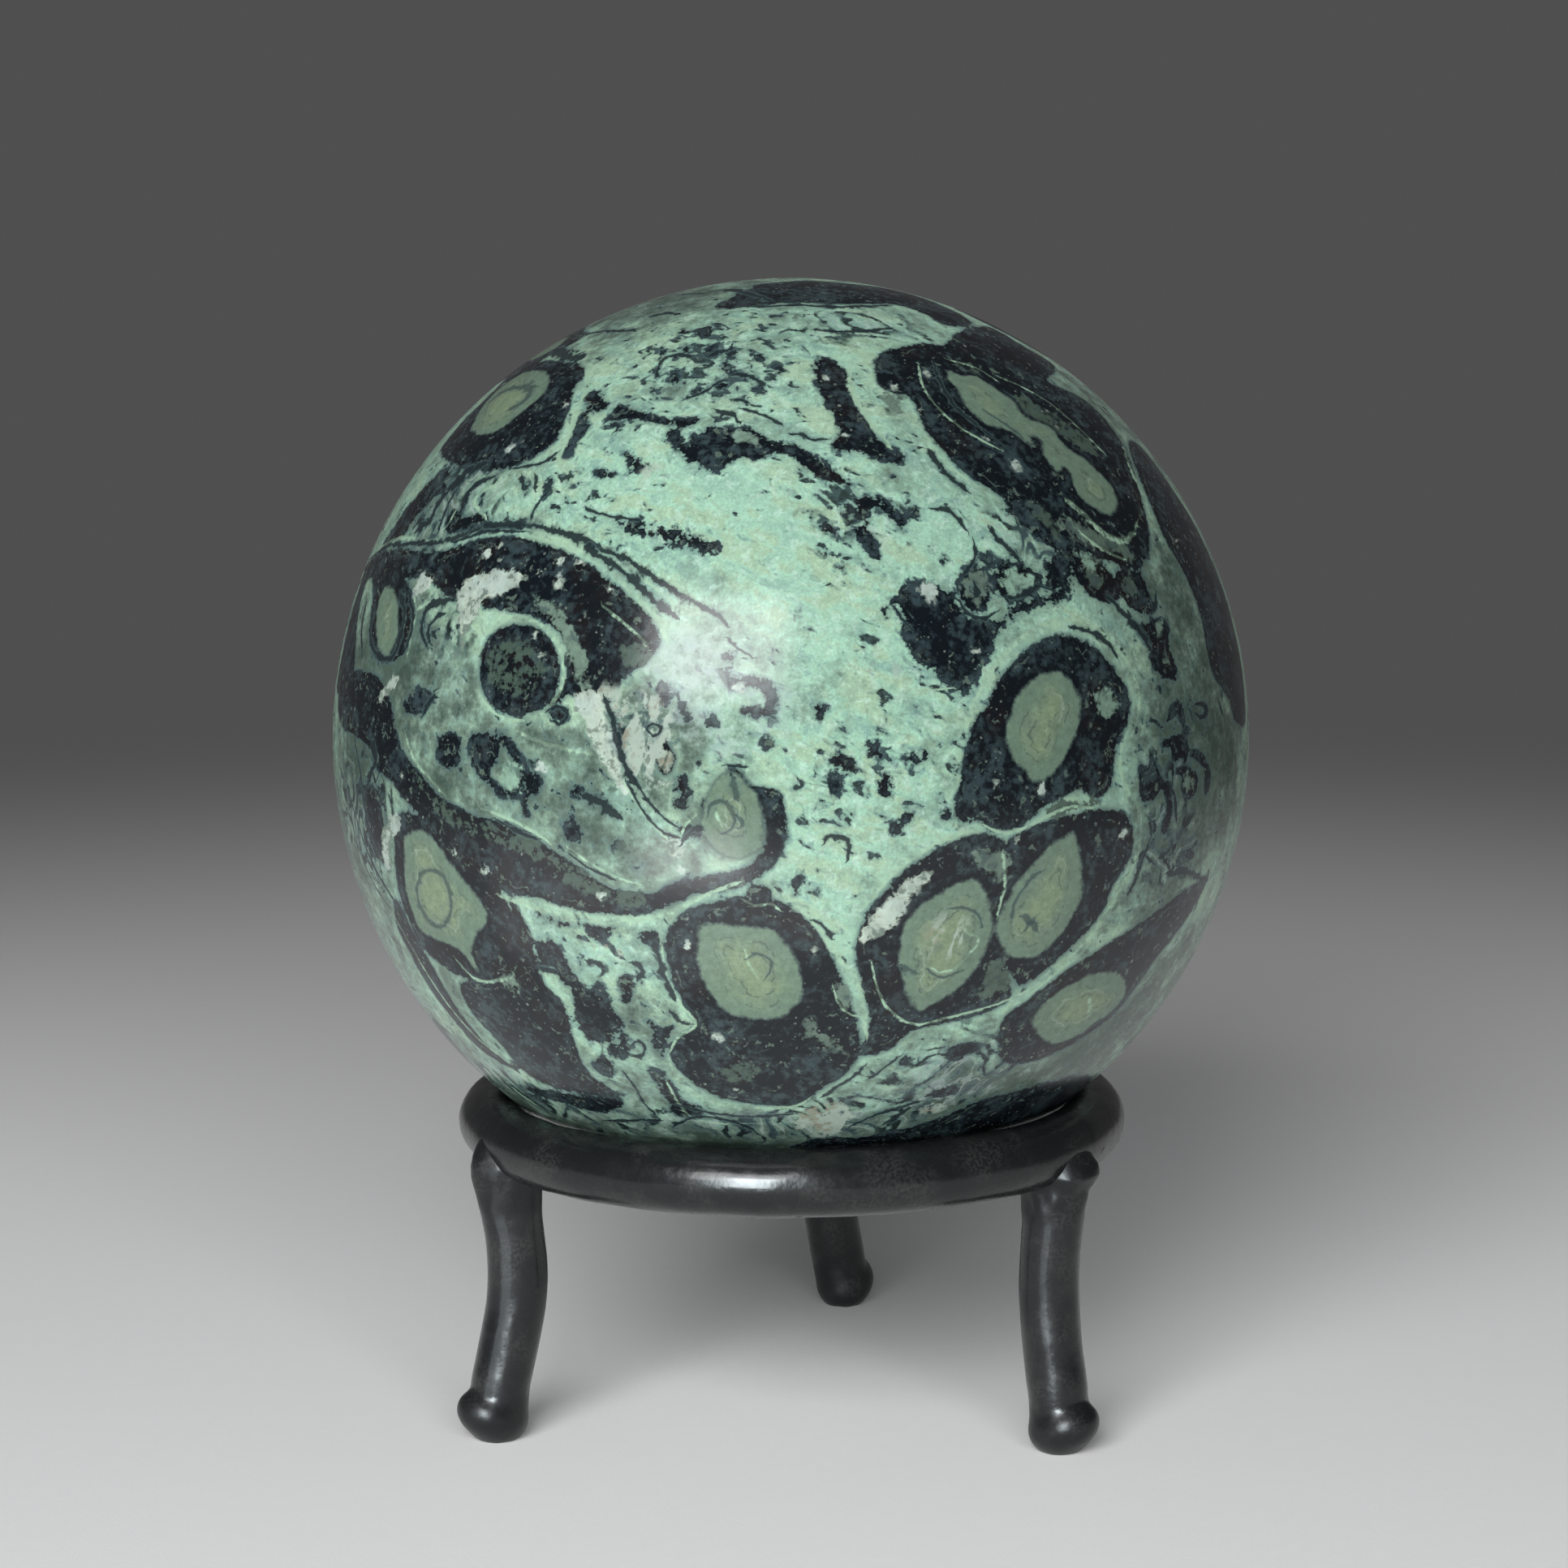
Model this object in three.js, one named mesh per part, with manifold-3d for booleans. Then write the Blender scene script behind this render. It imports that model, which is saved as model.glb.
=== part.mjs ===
// A polished stone ball resting on a small black metal stand. Units are millimetres and +Z is up.
// The origin is on the surface that the stand is set on, straight under the middle of the ring.
// The stand is a ring of round rod on three bent legs. Seen from the front, along +Y, one leg is at the back.

import * as THREE from "three";
import { mergeVertices } from "three/addons/utils/BufferGeometryUtils.js";
import Module from "manifold-3d";

const wasm = await Module();
wasm.setup();

// The ball.
const BALL_RADIUS = 30;
const BALL_MERIDIANS = 52;
const BALL_PARALLELS = 30;

// The ring that carries it: the middle line of its rod, the rod itself, and how high it stands.
// It was set on its legs by eye, so its front is a little higher than its back.
const RING_RADIUS = 20;
const RING_ROD_RADIUS = 2.15;
const RING_HEIGHT = 19.4;
const RING_LEAN_DEGREES = 0.95;
const RING_STEPS = 56;
const RING_SIDES = 16;

// The ball touches the ring all round. This is the space left between their surfaces.
const SEAT_GAP = 0.1;

// The legs are welded to the ring. Each stops this far short of its surface.
const WELD_GAP = 0.3;

// A leg's middle line: how far out from the axis it is at each height. It leans out at the top,
// draws in at the waist and spreads to the ankle. A leg that is bent less keeps nearer to
// LEG_STRAIGHT_REACH all the way.
const LEG_ROD_RADIUS = 1.95;
const LEG_STRAIGHT_REACH = 20.6;
const LEG_LINE = [
  { reach: 20.85, height: 18.6 },
  { reach: 20.35, height: 15.2 },
  { reach: 20.0, height: 11.8 },
  { reach: 20.12, height: 9.1 },
  { reach: 20.55, height: 6.8 },
  { reach: 21.0, height: 4.85 },
  { reach: 21.3, height: 3.6 },
  { reach: 21.55, height: 1.5 },
];
const LEG_STEPS = 14;
const LEG_SIDES = 16;

// The foot is the rod's end swelled and turned out, as an ellipsoid with its outer end lifted,
// worn flat underneath.
const TOE_PAST_ROD = 0.42;
const TOE_HEIGHT = 1.66;
const TOE_LENGTH = 2.35;
const TOE_DEPTH = 1.68;
const TOE_LIFT_DEGREES = 21;
const TOE_MERIDIANS = 18;
const TOE_PARALLELS = 10;

// The weld that joins a leg to the ring flares up from the rod and closes on the ring's sides.
// Its profile is how wide it is at each height, with the ring's middle line at RING_HEIGHT.
// Along the ring it is narrower than out from the axis.
const WELD_REACH = 20.5;
const WELD_ALONG = 0.85;
const WELD_PROFILE = [
  { width: 0, height: 14.9 },
  { width: 1.7, height: 15.0 },
  { width: 1.95, height: 15.8 },
  { width: 2.17, height: 16.5 },
  { width: 2.4, height: 17.2 },
  { width: 2.55, height: 18.2 },
  { width: 2.3, height: 19.0 },
  { width: 0, height: 19.4 },
];
const WELD_SIDES = 16;

// Where the legs stand round the ring, in degrees from +X towards +Y. They were bent by hand,
// so they aren't quite even, and a foot isn't quite under its top. bend is how much of the line's
// bend a leg has, and toe is half the foot's width.
const LEGS = [
  { name: "leg_front_left", top: 206, foot: 206, bend: 1, toe: 2.2 },
  { name: "leg_front_right", top: 324.4, foot: 323.2, bend: 0.65, toe: 2.2 },
  { name: "leg_back", top: 85.8, foot: 78.9, bend: 1, toe: 2.0 },
];

const STONE = new THREE.MeshStandardMaterial({ color: 0x5f8f72, roughness: 0.12, metalness: 0 });
const BLACK_METAL = new THREE.MeshStandardMaterial({ color: 0x1b1d1d, roughness: 0.35, metalness: 0.4 });

// A closed three.js geometry as a solid that can be joined and cut.
function solidOf(geometry) {
  const bare = geometry.clone();
  bare.deleteAttribute("normal");
  bare.deleteAttribute("uv");
  const merged = mergeVertices(bare, 1e-4);
  return new wasm.Manifold(
    new wasm.Mesh({
      numProp: 3,
      vertProperties: new Float32Array(merged.attributes.position.array),
      triVerts: new Uint32Array(merged.index.array),
    }),
  );
}

// A solid as a three.js geometry with flat faces.
function geometryOf(solid) {
  const mesh = solid.getMesh();
  const geometry = new THREE.BufferGeometry();
  geometry.setAttribute("position", new THREE.BufferAttribute(new Float32Array(mesh.vertProperties), 3));
  geometry.setIndex(new THREE.BufferAttribute(new Uint32Array(mesh.triVerts), 1));
  const faceted = geometry.toNonIndexed();
  faceted.computeVertexNormals();
  return faceted;
}

// The point that is reach from the axis in a direction, at a height.
function around(degrees, reach, height) {
  const angle = THREE.MathUtils.degToRad(degrees);
  return new THREE.Vector3(reach * Math.cos(angle), reach * Math.sin(angle), height);
}

// Three.js spheres have their poles on Y. This one has them on Z.
function uprightSphere(radius, meridians, parallels) {
  return new THREE.SphereGeometry(radius, meridians, parallels).rotateX(Math.PI / 2);
}

const ringLean = -THREE.MathUtils.degToRad(RING_LEAN_DEGREES);

// The straight line through the middle of the ring, square to it.
function upFromRing() {
  return new THREE.Vector3(0, 0, 1).applyAxisAngle(new THREE.Vector3(1, 0, 0), ringLean);
}

// From the ring's middle to the ball's: the other side of the triangle whose long side runs
// from the ball's middle to the middle of the ring's rod.
function ringToBall() {
  const toRod = BALL_RADIUS + SEAT_GAP + RING_ROD_RADIUS;
  return upFromRing().multiplyScalar(Math.sqrt(toRod ** 2 - RING_RADIUS ** 2));
}

// The ball's middle is straight over the origin, so the leaning ring's is a little to the front.
function ringMiddle() {
  return new THREE.Vector3(0, -ringToBall().y, RING_HEIGHT);
}

function ringOfRod(rodRadius) {
  const { x, y, z } = ringMiddle();
  return new THREE.TorusGeometry(RING_RADIUS, rodRadius, RING_SIDES, RING_STEPS)
    .rotateX(ringLean)
    .translate(x, y, z);
}

function ballMiddle() {
  return ringMiddle().add(ringToBall());
}

function bentReach(reach, bend) {
  return THREE.MathUtils.lerp(LEG_STRAIGHT_REACH, reach, bend);
}

// A leg turns evenly from the direction of its foot to the direction of its top.
function legRod({ top, foot, bend }) {
  const crown = LEG_LINE[0].height;
  const points = LEG_LINE.map(({ reach, height }) => {
    const degrees = THREE.MathUtils.lerp(foot, top, height / crown);
    return around(degrees, bentReach(reach, bend), height);
  });
  const line = new THREE.CatmullRomCurve3(points);
  const section = new THREE.Shape().absarc(0, 0, LEG_ROD_RADIUS, 0, 2 * Math.PI);
  return new THREE.ExtrudeGeometry(section, {
    steps: LEG_STEPS,
    curveSegments: LEG_SIDES,
    bevelEnabled: false,
    extrudePath: line,
  });
}

function toeOf({ foot, bend, toe }) {
  const rodEnd = bentReach(LEG_LINE.at(-1).reach, bend);
  return uprightSphere(1, TOE_MERIDIANS, TOE_PARALLELS)
    .scale(TOE_LENGTH, toe, TOE_DEPTH)
    .rotateY(-THREE.MathUtils.degToRad(TOE_LIFT_DEGREES))
    .translate(rodEnd + TOE_PAST_ROD, 0, TOE_HEIGHT)
    .rotateZ(THREE.MathUtils.degToRad(foot));
}

// The ring's front is higher than its back, so each weld moves up or down with it.
function weldOf({ top }) {
  const rise = around(top, WELD_REACH, 0).y * Math.tan(ringLean);
  const profile = WELD_PROFILE.map(({ width, height }) => new THREE.Vector2(width, height));
  return new THREE.LatheGeometry(profile, WELD_SIDES)
    .rotateX(Math.PI / 2)
    .scale(1, WELD_ALONG, 1)
    .translate(WELD_REACH, 0, rise)
    .rotateZ(THREE.MathUtils.degToRad(top));
}

// What lies under the surface that the stand is set on.
function ground() {
  const size = 4 * RING_RADIUS;
  return new THREE.BoxGeometry(size, size, size).translate(0, 0, -size / 2);
}

function leg(place) {
  const joined = solidOf(legRod(place)).add(solidOf(toeOf(place))).add(solidOf(weldOf(place)));
  const saddled = joined.subtract(solidOf(ringOfRod(RING_ROD_RADIUS + WELD_GAP)));
  return geometryOf(saddled.subtract(solidOf(ground())));
}

function named(name, geometry, material) {
  const mesh = new THREE.Mesh(geometry, material);
  mesh.name = name;
  return mesh;
}

const stand = new THREE.Group();
stand.add(named("stand_ring", ringOfRod(RING_ROD_RADIUS), BLACK_METAL));
for (const place of LEGS) stand.add(named(place.name, leg(place), BLACK_METAL));

const ball = named("jasper_ball", uprightSphere(BALL_RADIUS, BALL_MERIDIANS, BALL_PARALLELS), STONE);
ball.position.copy(ballMiddle());

const ballOnStand = new THREE.Group();
ballOnStand.add(stand, ball);

export default ballOnStand;
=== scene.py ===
# A polished ball of kambaba jasper on a black enamelled ring stand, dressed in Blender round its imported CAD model.
# Lengths are in metres where Blender takes them, and in millimetres (mm) where a name or comment says so.

import bpy
import numpy as np
from bpy.props import FloatProperty, FloatVectorProperty, IntProperty, PointerProperty
from mathutils import Matrix, Vector


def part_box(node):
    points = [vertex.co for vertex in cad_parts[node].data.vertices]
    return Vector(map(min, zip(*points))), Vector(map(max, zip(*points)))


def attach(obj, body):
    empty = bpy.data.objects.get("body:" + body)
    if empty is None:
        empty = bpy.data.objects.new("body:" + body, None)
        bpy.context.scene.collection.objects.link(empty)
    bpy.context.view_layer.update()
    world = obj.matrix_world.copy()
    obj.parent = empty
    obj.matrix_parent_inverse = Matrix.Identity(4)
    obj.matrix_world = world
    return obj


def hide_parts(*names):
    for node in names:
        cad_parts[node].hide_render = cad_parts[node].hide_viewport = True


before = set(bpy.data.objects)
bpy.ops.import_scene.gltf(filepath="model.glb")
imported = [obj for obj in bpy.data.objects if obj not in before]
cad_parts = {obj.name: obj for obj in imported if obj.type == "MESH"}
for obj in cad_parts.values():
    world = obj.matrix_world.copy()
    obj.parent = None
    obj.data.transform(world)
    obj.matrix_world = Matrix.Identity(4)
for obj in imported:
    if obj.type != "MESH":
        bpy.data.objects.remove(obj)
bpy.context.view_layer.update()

bl_info = {
    "name": "Kambaba jasper sphere",
    "version": (1, 0, 0),
    "blender": (4, 5, 0),
    "location": "View3D > Sidebar > Jasper",
    "description": "Builds a polished jasper ball with its eyes and bands, and the black ring stand under it",
    "category": "Object",
}

MM = 0.001
BODY = "root"

# The camera that took the photograph: where it was, how far it looked down, right and round, and its focal length
# in pixels of the 1932 pixel frame.
FRAME_SIDE = 1932
CAMERA_PLACE = np.array([-3.3, -254.8, 80.4])
CAMERA_DOWN, CAMERA_RIGHT, CAMERA_ROLL = np.radians([8.67, 0.64, -0.20])
FOCAL_PIXELS = 4808.0

# The ball and the ring, as the CAD model has them.
BALL_LOW, BALL_HIGH = (np.array(corner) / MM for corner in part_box("jasper_ball"))
BALL_MIDDLE = (BALL_LOW + BALL_HIGH) / 2
BALL_RADIUS = 30.0
RING_LOW, RING_HIGH = (np.array(corner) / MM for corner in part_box("stand_ring"))

# Markings that show in the photograph, as outlines and lines in pixels of its 1932 pixel frame; a few of them are
# painted shade and painted highlights. They are laid on the ball through the camera. Each dark body has how torn its
# edge is, from 0 for clean to 1.
DARK_BODIES = [
    ("upper left eye", 0.25, [(543, 560), (560, 531), (593, 497), (623, 468), (653, 449), (683, 445), (716, 449),
        (720, 460), (709, 479), (701, 501), (694, 523), (686, 540), (668, 556), (640, 572), (610, 580), (575, 578)]),
    ("upper patch", 0.4, [(820, 536), (828, 529), (837, 532), (842, 545), (850, 549), (851, 538), (856, 534),
        (861, 542), (866, 530), (874, 523), (886, 526), (902, 528), (920, 527), (936, 531), (948, 541), (964, 545),
        (982, 548), (1000, 560), (1022, 575), (1050, 594), (1062, 602), (1030, 596), (1002, 585), (986, 576),
        (972, 562), (952, 559), (936, 567), (920, 565), (905, 568), (894, 576), (880, 580), (862, 571), (846, 570),
        (834, 554)]),
    ("upper finger", 0.25, [(722, 500), (714, 516), (705, 534), (699, 548), (695, 563), (704, 560), (710, 546),
        (722, 532), (727, 525), (721, 520), (727, 509)]),
    ("finger's head", 0.35, [(726, 483), (738, 482), (745, 492), (750, 500), (742, 507), (733, 508), (724, 502),
        (720, 494)]),
    ("top cap", 0.15, [(925, 353), (960, 348), (1000, 346), (1050, 350), (1100, 357), (1150, 372), (1198, 397),
        (1168, 401), (1138, 386), (1101, 375), (1053, 375), (1005, 373), (960, 366)]),
    ("streak", 0.75, [(758, 646), (785, 641), (815, 650), (845, 655), (882, 672), (870, 682), (845, 672), (822, 669),
        (798, 661), (772, 655)]),
    ("cluster roof", 0.2, [(449, 705), (463, 684), (493, 676), (530, 681), (560, 674), (601, 663), (638, 662),
        (662, 666), (697, 681), (735, 702), (772, 732), (806, 765), (812, 790), (800, 812), (772, 832), (756, 850),
        (735, 862), (714, 860), (707, 835), (703, 808), (693, 786), (676, 769), (656, 759), (638, 755), (612, 750),
        (590, 747), (575, 738), (560, 742), (545, 728), (520, 712), (500, 714), (470, 716)]),
    ("left edge", 0.2, [(452, 700), (459, 703), (449, 722), (443, 750), (439, 778), (438, 806), (436, 826), (432, 846),
        (420, 856), (415, 848), (418, 826), (423, 800), (429, 772), (435, 750), (442, 727)]),
    ("small eye", 0.1, [(460, 708), (476, 706), (494, 712), (509, 732), (513, 756), (509, 782), (499, 804), (482, 817),
        (464, 812), (456, 794), (456, 765), (460, 735)]),
    ("cluster wall", 0.12, [(417, 866), (420, 844), (434, 828), (456, 828), (472, 842), (483, 870), (489, 902),
        (497, 928), (519, 954), (541, 980), (560, 992), (586, 1003), (614, 1012), (642, 1022), (675, 1044),
        (697, 1058), (720, 1073), (742, 1088), (772, 1099), (809, 1099), (828, 1088), (860, 1080), (895, 1076),
        (922, 1066), (941, 1044), (943, 1022), (939, 1003), (924, 980), (913, 962), (898, 947), (908, 945), (925, 966),
        (945, 971), (961, 977), (968, 1003), (969, 1029), (958, 1060), (935, 1080), (903, 1095), (857, 1103),
        (828, 1117), (790, 1126), (746, 1127), (709, 1121), (668, 1109), (623, 1098), (593, 1087), (564, 1058),
        (549, 1040), (523, 1010), (497, 984), (482, 962), (464, 948), (456, 924), (442, 910), (426, 900), (418, 884)]),
    ("round eye", 0.1, [(640, 769), (664, 775), (682, 795), (689, 822), (685, 850), (668, 872), (640, 881), (612, 873),
        (595, 850), (591, 822), (598, 794), (616, 775)]),
    ("round eye's arc", 0.3, [(698, 808), (710, 806), (720, 826), (722, 842), (712, 854), (698, 858), (686, 870),
        (676, 880), (670, 876), (684, 858), (698, 838), (700, 822)]),
    ("cluster corner", 0.3, [(447, 968), (466, 976), (470, 1000), (476, 1030), (474, 1062), (462, 1052), (452, 1020)]),
    ("oval eye left", 0.35, [(580, 906), (598, 901), (612, 907), (618, 924), (611, 940), (603, 952), (612, 966),
        (628, 974), (640, 970), (644, 978), (626, 984), (606, 974), (590, 956), (579, 932)]),
    ("oval eye right", 0.25, [(610, 900), (622, 903), (634, 918), (644, 934), (652, 950), (664, 954), (667, 968),
        (660, 980), (652, 984), (650, 998), (655, 1008), (646, 1006), (643, 992), (646, 974), (644, 958), (634, 940),
        (624, 924), (614, 910)]),
    ("little left eye", 0.35, [(540, 910), (556, 902), (568, 912), (567, 932), (560, 948), (546, 944), (538, 928)]),
    ("curl blob", 0.3, [(549, 655), (556, 628), (566, 626), (570, 634), (590, 632), (603, 640), (598, 650),
        (575, 655)]),
    ("curve blob", 0.35, [(1003, 447), (1014, 441), (1030, 447), (1046, 464), (1048, 486), (1058, 505), (1075, 531),
        (1094, 548), (1112, 560), (1109, 572), (1086, 568), (1057, 557), (1031, 556), (1024, 544), (1034, 529),
        (1019, 501), (1008, 479)]),
    ("upper right eye", 0.12, [(1079, 448), (1088, 434), (1109, 428), (1138, 423), (1162, 425), (1180, 411),
        (1215, 402), (1260, 426), (1300, 452), (1292, 470), (1332, 490), (1361, 516), (1384, 549), (1399, 587),
        (1413, 642), (1417, 676), (1405, 699), (1382, 697), (1352, 686), (1325, 672), (1296, 650), (1268, 628),
        (1235, 612), (1202, 592), (1168, 562), (1142, 532), (1131, 507), (1120, 489), (1100, 484), (1082, 472)]),
    ("eye skirt", 0.6, [(1240, 606), (1275, 618), (1302, 644), (1322, 660), (1335, 690), (1320, 703), (1306, 684),
        (1284, 668), (1262, 650), (1243, 630)]),
    ("right edge band", 0.12, [(1391, 551), (1417, 620), (1436, 665), (1462, 713), (1480, 761), (1492, 824),
        (1514, 862), (1521, 888), (1534, 890), (1530, 824), (1517, 761), (1502, 713), (1481, 665), (1456, 620),
        (1408, 553)]),
    ("torn patch", 0.65, [(1109, 724), (1138, 720), (1168, 724), (1180, 740), (1192, 758), (1213, 764), (1231, 760),
        (1250, 745), (1272, 737), (1300, 728), (1318, 706), (1326, 712), (1310, 738), (1278, 748), (1248, 762),
        (1230, 780), (1218, 806), (1204, 826), (1192, 850), (1179, 850), (1161, 834), (1138, 819), (1124, 804),
        (1113, 778), (1106, 748)]),
    ("loop under skirt", 0.35, [(1318, 692), (1334, 684), (1356, 692), (1374, 712), (1380, 736), (1368, 748),
        (1348, 738), (1330, 722)]),
    ("right loop", 0.35, [(1376, 702), (1392, 700), (1406, 706), (1413, 718), (1418, 736), (1424, 750), (1410, 758),
        (1392, 748), (1380, 730), (1372, 714)]),
    ("right eye", 0.22, [(1213, 869), (1235, 832), (1265, 802), (1295, 785), (1324, 785), (1354, 802), (1371, 821),
        (1389, 850), (1391, 888), (1381, 905), (1373, 936), (1369, 969), (1352, 982), (1332, 976), (1302, 984),
        (1276, 1003), (1250, 1021), (1220, 1019), (1198, 1006), (1177, 1002), (1183, 962), (1190, 925), (1200, 890)]),
    ("lower right eye", 0.1, [(1198, 1029), (1168, 1040), (1138, 1055), (1109, 1077), (1086, 1103), (1068, 1125),
        (1059, 1148), (1054, 1170), (1059, 1200), (1064, 1226), (1072, 1250), (1068, 1275), (1064, 1300), (1098, 1292),
        (1122, 1272), (1150, 1264), (1183, 1256), (1220, 1245), (1245, 1226), (1240, 1200), (1228, 1160), (1236, 1100),
        (1242, 1048), (1225, 1030)]),
    ("outer right eye", 0.1, [(1240, 1040), (1262, 1024), (1290, 1012), (1325, 1002), (1358, 996), (1387, 1003),
        (1397, 1029), (1391, 1058), (1373, 1088), (1361, 1118), (1339, 1148), (1309, 1177), (1283, 1200), (1257, 1214),
        (1243, 1198), (1228, 1172), (1226, 1120), (1238, 1070)]),
    ("low right eye", 0.1, [(1232, 1267), (1240, 1250), (1262, 1236), (1290, 1214), (1320, 1191), (1356, 1169),
        (1390, 1147), (1427, 1121), (1456, 1099), (1485, 1086), (1468, 1122), (1444, 1156), (1421, 1185), (1400, 1215),
        (1372, 1250), (1344, 1272), (1313, 1291), (1280, 1305), (1250, 1311), (1232, 1303)]),
    ("left eye", 0.1, [(486, 1029), (493, 1003), (523, 1006), (556, 1040), (586, 1077), (619, 1103), (634, 1140),
        (640, 1177), (626, 1203), (593, 1208), (560, 1200), (530, 1177), (510, 1148), (493, 1103), (487, 1066)]),
    ("lower left field", 0.12, [(628, 1105), (653, 1148), (660, 1177), (668, 1207), (683, 1226), (697, 1244),
        (705, 1274), (723, 1319), (748, 1338), (757, 1350), (720, 1347), (683, 1340), (645, 1319), (612, 1280),
        (582, 1248), (566, 1212), (600, 1212), (628, 1201), (638, 1172)]),
    ("lower left edge", 0.15, [(488, 1108), (512, 1155), (536, 1196), (562, 1240), (596, 1284), (632, 1316),
        (596, 1296), (560, 1258), (528, 1214), (504, 1172), (488, 1136)]),
    ("bottom eye", 0.12, [(822, 1150), (839, 1127), (865, 1115), (894, 1108), (928, 1104), (961, 1110), (990, 1130),
        (1010, 1155), (1030, 1190), (1045, 1225), (1056, 1262), (1060, 1292), (1045, 1320), (1012, 1342), (985, 1360),
        (930, 1360), (880, 1350), (844, 1326), (826, 1300), (836, 1277), (857, 1263), (845, 1240), (828, 1205),
        (821, 1175)]),
    ("bottom eye blob", 0.2, [(920, 1098), (935, 1088), (950, 1096), (948, 1112), (930, 1114)]),
    # The underside is partly painted shadow and a painted reflection of the black ring, where the ball's bottom dips
    # towards it.
    ("underside", 0.3, [(1150, 1380), (1205, 1357), (1260, 1342), (1320, 1326), (1345, 1330), (1330, 1360),
        (1280, 1385), (1220, 1405), (1150, 1412), (1060, 1416), (980, 1418), (1000, 1404), (1080, 1398)]),
    ("underside left", 0.25, [(640, 1338), (676, 1344), (704, 1348), (738, 1352), (764, 1355), (768, 1363),
        (750, 1371), (724, 1368), (700, 1360), (672, 1352)]),
    ("underside band", 0.35, [(812, 1318), (824, 1330), (842, 1356), (868, 1368), (858, 1376), (834, 1368),
        (818, 1344)]),
    ("vein finger", 0.35, [(676, 1153), (692, 1172), (704, 1192), (716, 1212), (728, 1221), (739, 1208), (746, 1222),
        (756, 1244), (771, 1256), (766, 1268), (757, 1274), (763, 1298), (755, 1302), (747, 1284), (738, 1284),
        (724, 1280), (714, 1262), (707, 1238), (702, 1220), (688, 1206), (682, 1186), (674, 1170)]),
    ("vein root", 0.4, [(658, 1160), (670, 1158), (681, 1173), (681, 1188), (669, 1191), (661, 1178)]),
    ("vein lens", 0.25, [(764, 1206), (775, 1202), (781, 1214), (780, 1232), (773, 1238), (766, 1232)]),
    ("vein oval", 0.4, [(731, 1306), (744, 1302), (753, 1308), (757, 1320), (747, 1326), (736, 1318)]),
    ("vein top", 0.5, [(658, 1121), (676, 1127), (700, 1134), (720, 1138), (708, 1144), (686, 1142), (668, 1134)]),
    ("vein top two", 0.4, [(722, 1139), (744, 1141), (768, 1139), (756, 1149), (742, 1157), (728, 1155)]),
    ("vein top three", 0.4, [(784, 1151), (800, 1145), (812, 1150), (817, 1168), (804, 1166), (792, 1162)]),
    ("vein crescent", 0.3, [(794, 1256), (804, 1259), (812, 1272), (812, 1284), (818, 1304), (811, 1302), (803, 1286),
        (802, 1270)]),
    ("vein beak", 0.35, [(814, 1268), (833, 1264), (825, 1276), (820, 1292), (815, 1290)]),
    ("vein knot", 0.4, [(764, 1270), (772, 1276), (775, 1292), (771, 1303), (764, 1300)]),
    ("vein wedge", 0.35, [(800, 1320), (811, 1324), (820, 1340), (838, 1360), (852, 1374), (836, 1376), (822, 1362),
        (812, 1342)]),
    ("right squiggle", 0.2, [(1398, 768), (1410, 768), (1422, 762), (1434, 764), (1442, 778), (1441, 796), (1447, 812),
        (1452, 836), (1438, 838), (1424, 828), (1416, 810), (1420, 796), (1408, 790)]),
    ("right hook", 0.3, [(1444, 868), (1452, 862), (1458, 872), (1460, 888), (1466, 906), (1458, 898), (1451, 880),
        (1442, 886), (1432, 902), (1430, 896), (1438, 880)]),
    ("comma", 0.3, [(882, 818), (890, 826), (902, 836), (914, 838), (926, 834), (942, 838), (954, 850), (956, 868),
        (948, 872), (942, 856), (930, 846), (918, 848), (904, 850), (892, 838)]),
    ("comma's foot", 0.35, [(911, 873), (928, 869), (946, 874), (952, 882), (930, 883), (914, 881)]),
    ("olive eye", 0.2, [(803, 912), (813, 906), (824, 914), (832, 932), (829, 948), (820, 957), (810, 946),
        (804, 928)]),
    ("squid", 0.35, [(1054, 616), (1070, 610), (1088, 614), (1102, 626), (1116, 640), (1112, 652), (1098, 640),
        (1084, 628), (1072, 630), (1070, 642), (1058, 638)]),
    ("squid's arm", 0.35, [(1052, 650), (1064, 645), (1074, 658), (1080, 676), (1086, 692), (1074, 688), (1066, 672),
        (1056, 664)]),
    ("upper fleck", 0.3, [(748, 518), (755, 508), (762, 499), (776, 501), (800, 510), (828, 516), (866, 515),
        (862, 521), (848, 526), (824, 526), (798, 519), (772, 517)]),
    ("side fleck", 0.5, [(770, 560), (781, 562), (793, 577), (785, 582), (775, 574)]),
    ("side fleck two", 0.5, [(732, 582), (748, 579), (757, 586), (744, 590)]),
    ("loop by the torn patch", 0.4, [(1186, 706), (1198, 696), (1214, 704), (1222, 724), (1216, 748), (1200, 754),
        (1184, 744), (1180, 724)]),
    ("loop under the eye", 0.5, [(1224, 706), (1240, 694), (1264, 696), (1284, 712), (1278, 734), (1256, 742),
        (1236, 738), (1226, 724)]),
    ("skirt's end", 0.6, [(1290, 690), (1312, 684), (1322, 700), (1312, 722), (1298, 732), (1288, 718)]),
    ("left rim swirl", 0.5, [(560, 578), (548, 592), (530, 618), (512, 640), (496, 660), (480, 672), (470, 676),
        (482, 655), (500, 630), (520, 603), (540, 584)]),
    ("right curl", 0.15, [(1430, 920), (1434, 911), (1444, 906), (1456, 905), (1463, 914), (1464, 928), (1461, 941),
        (1455, 934), (1451, 939), (1444, 935), (1440, 922)]),
    ("right curl's tail", 0.1, [(1464, 922), (1474, 924), (1484, 932), (1491, 948), (1491, 964), (1486, 982),
        (1483, 968), (1484, 952), (1478, 940), (1468, 932)]),
    ("right ring", 0.1, [(1446, 950), (1456, 945), (1468, 947), (1476, 955), (1476, 970), (1470, 982), (1460, 983),
        (1455, 970), (1456, 958)]),
    ("right curl two", 0.2, [(1404, 939), (1412, 948), (1420, 938), (1427, 946), (1431, 958), (1443, 966), (1446, 984),
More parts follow.
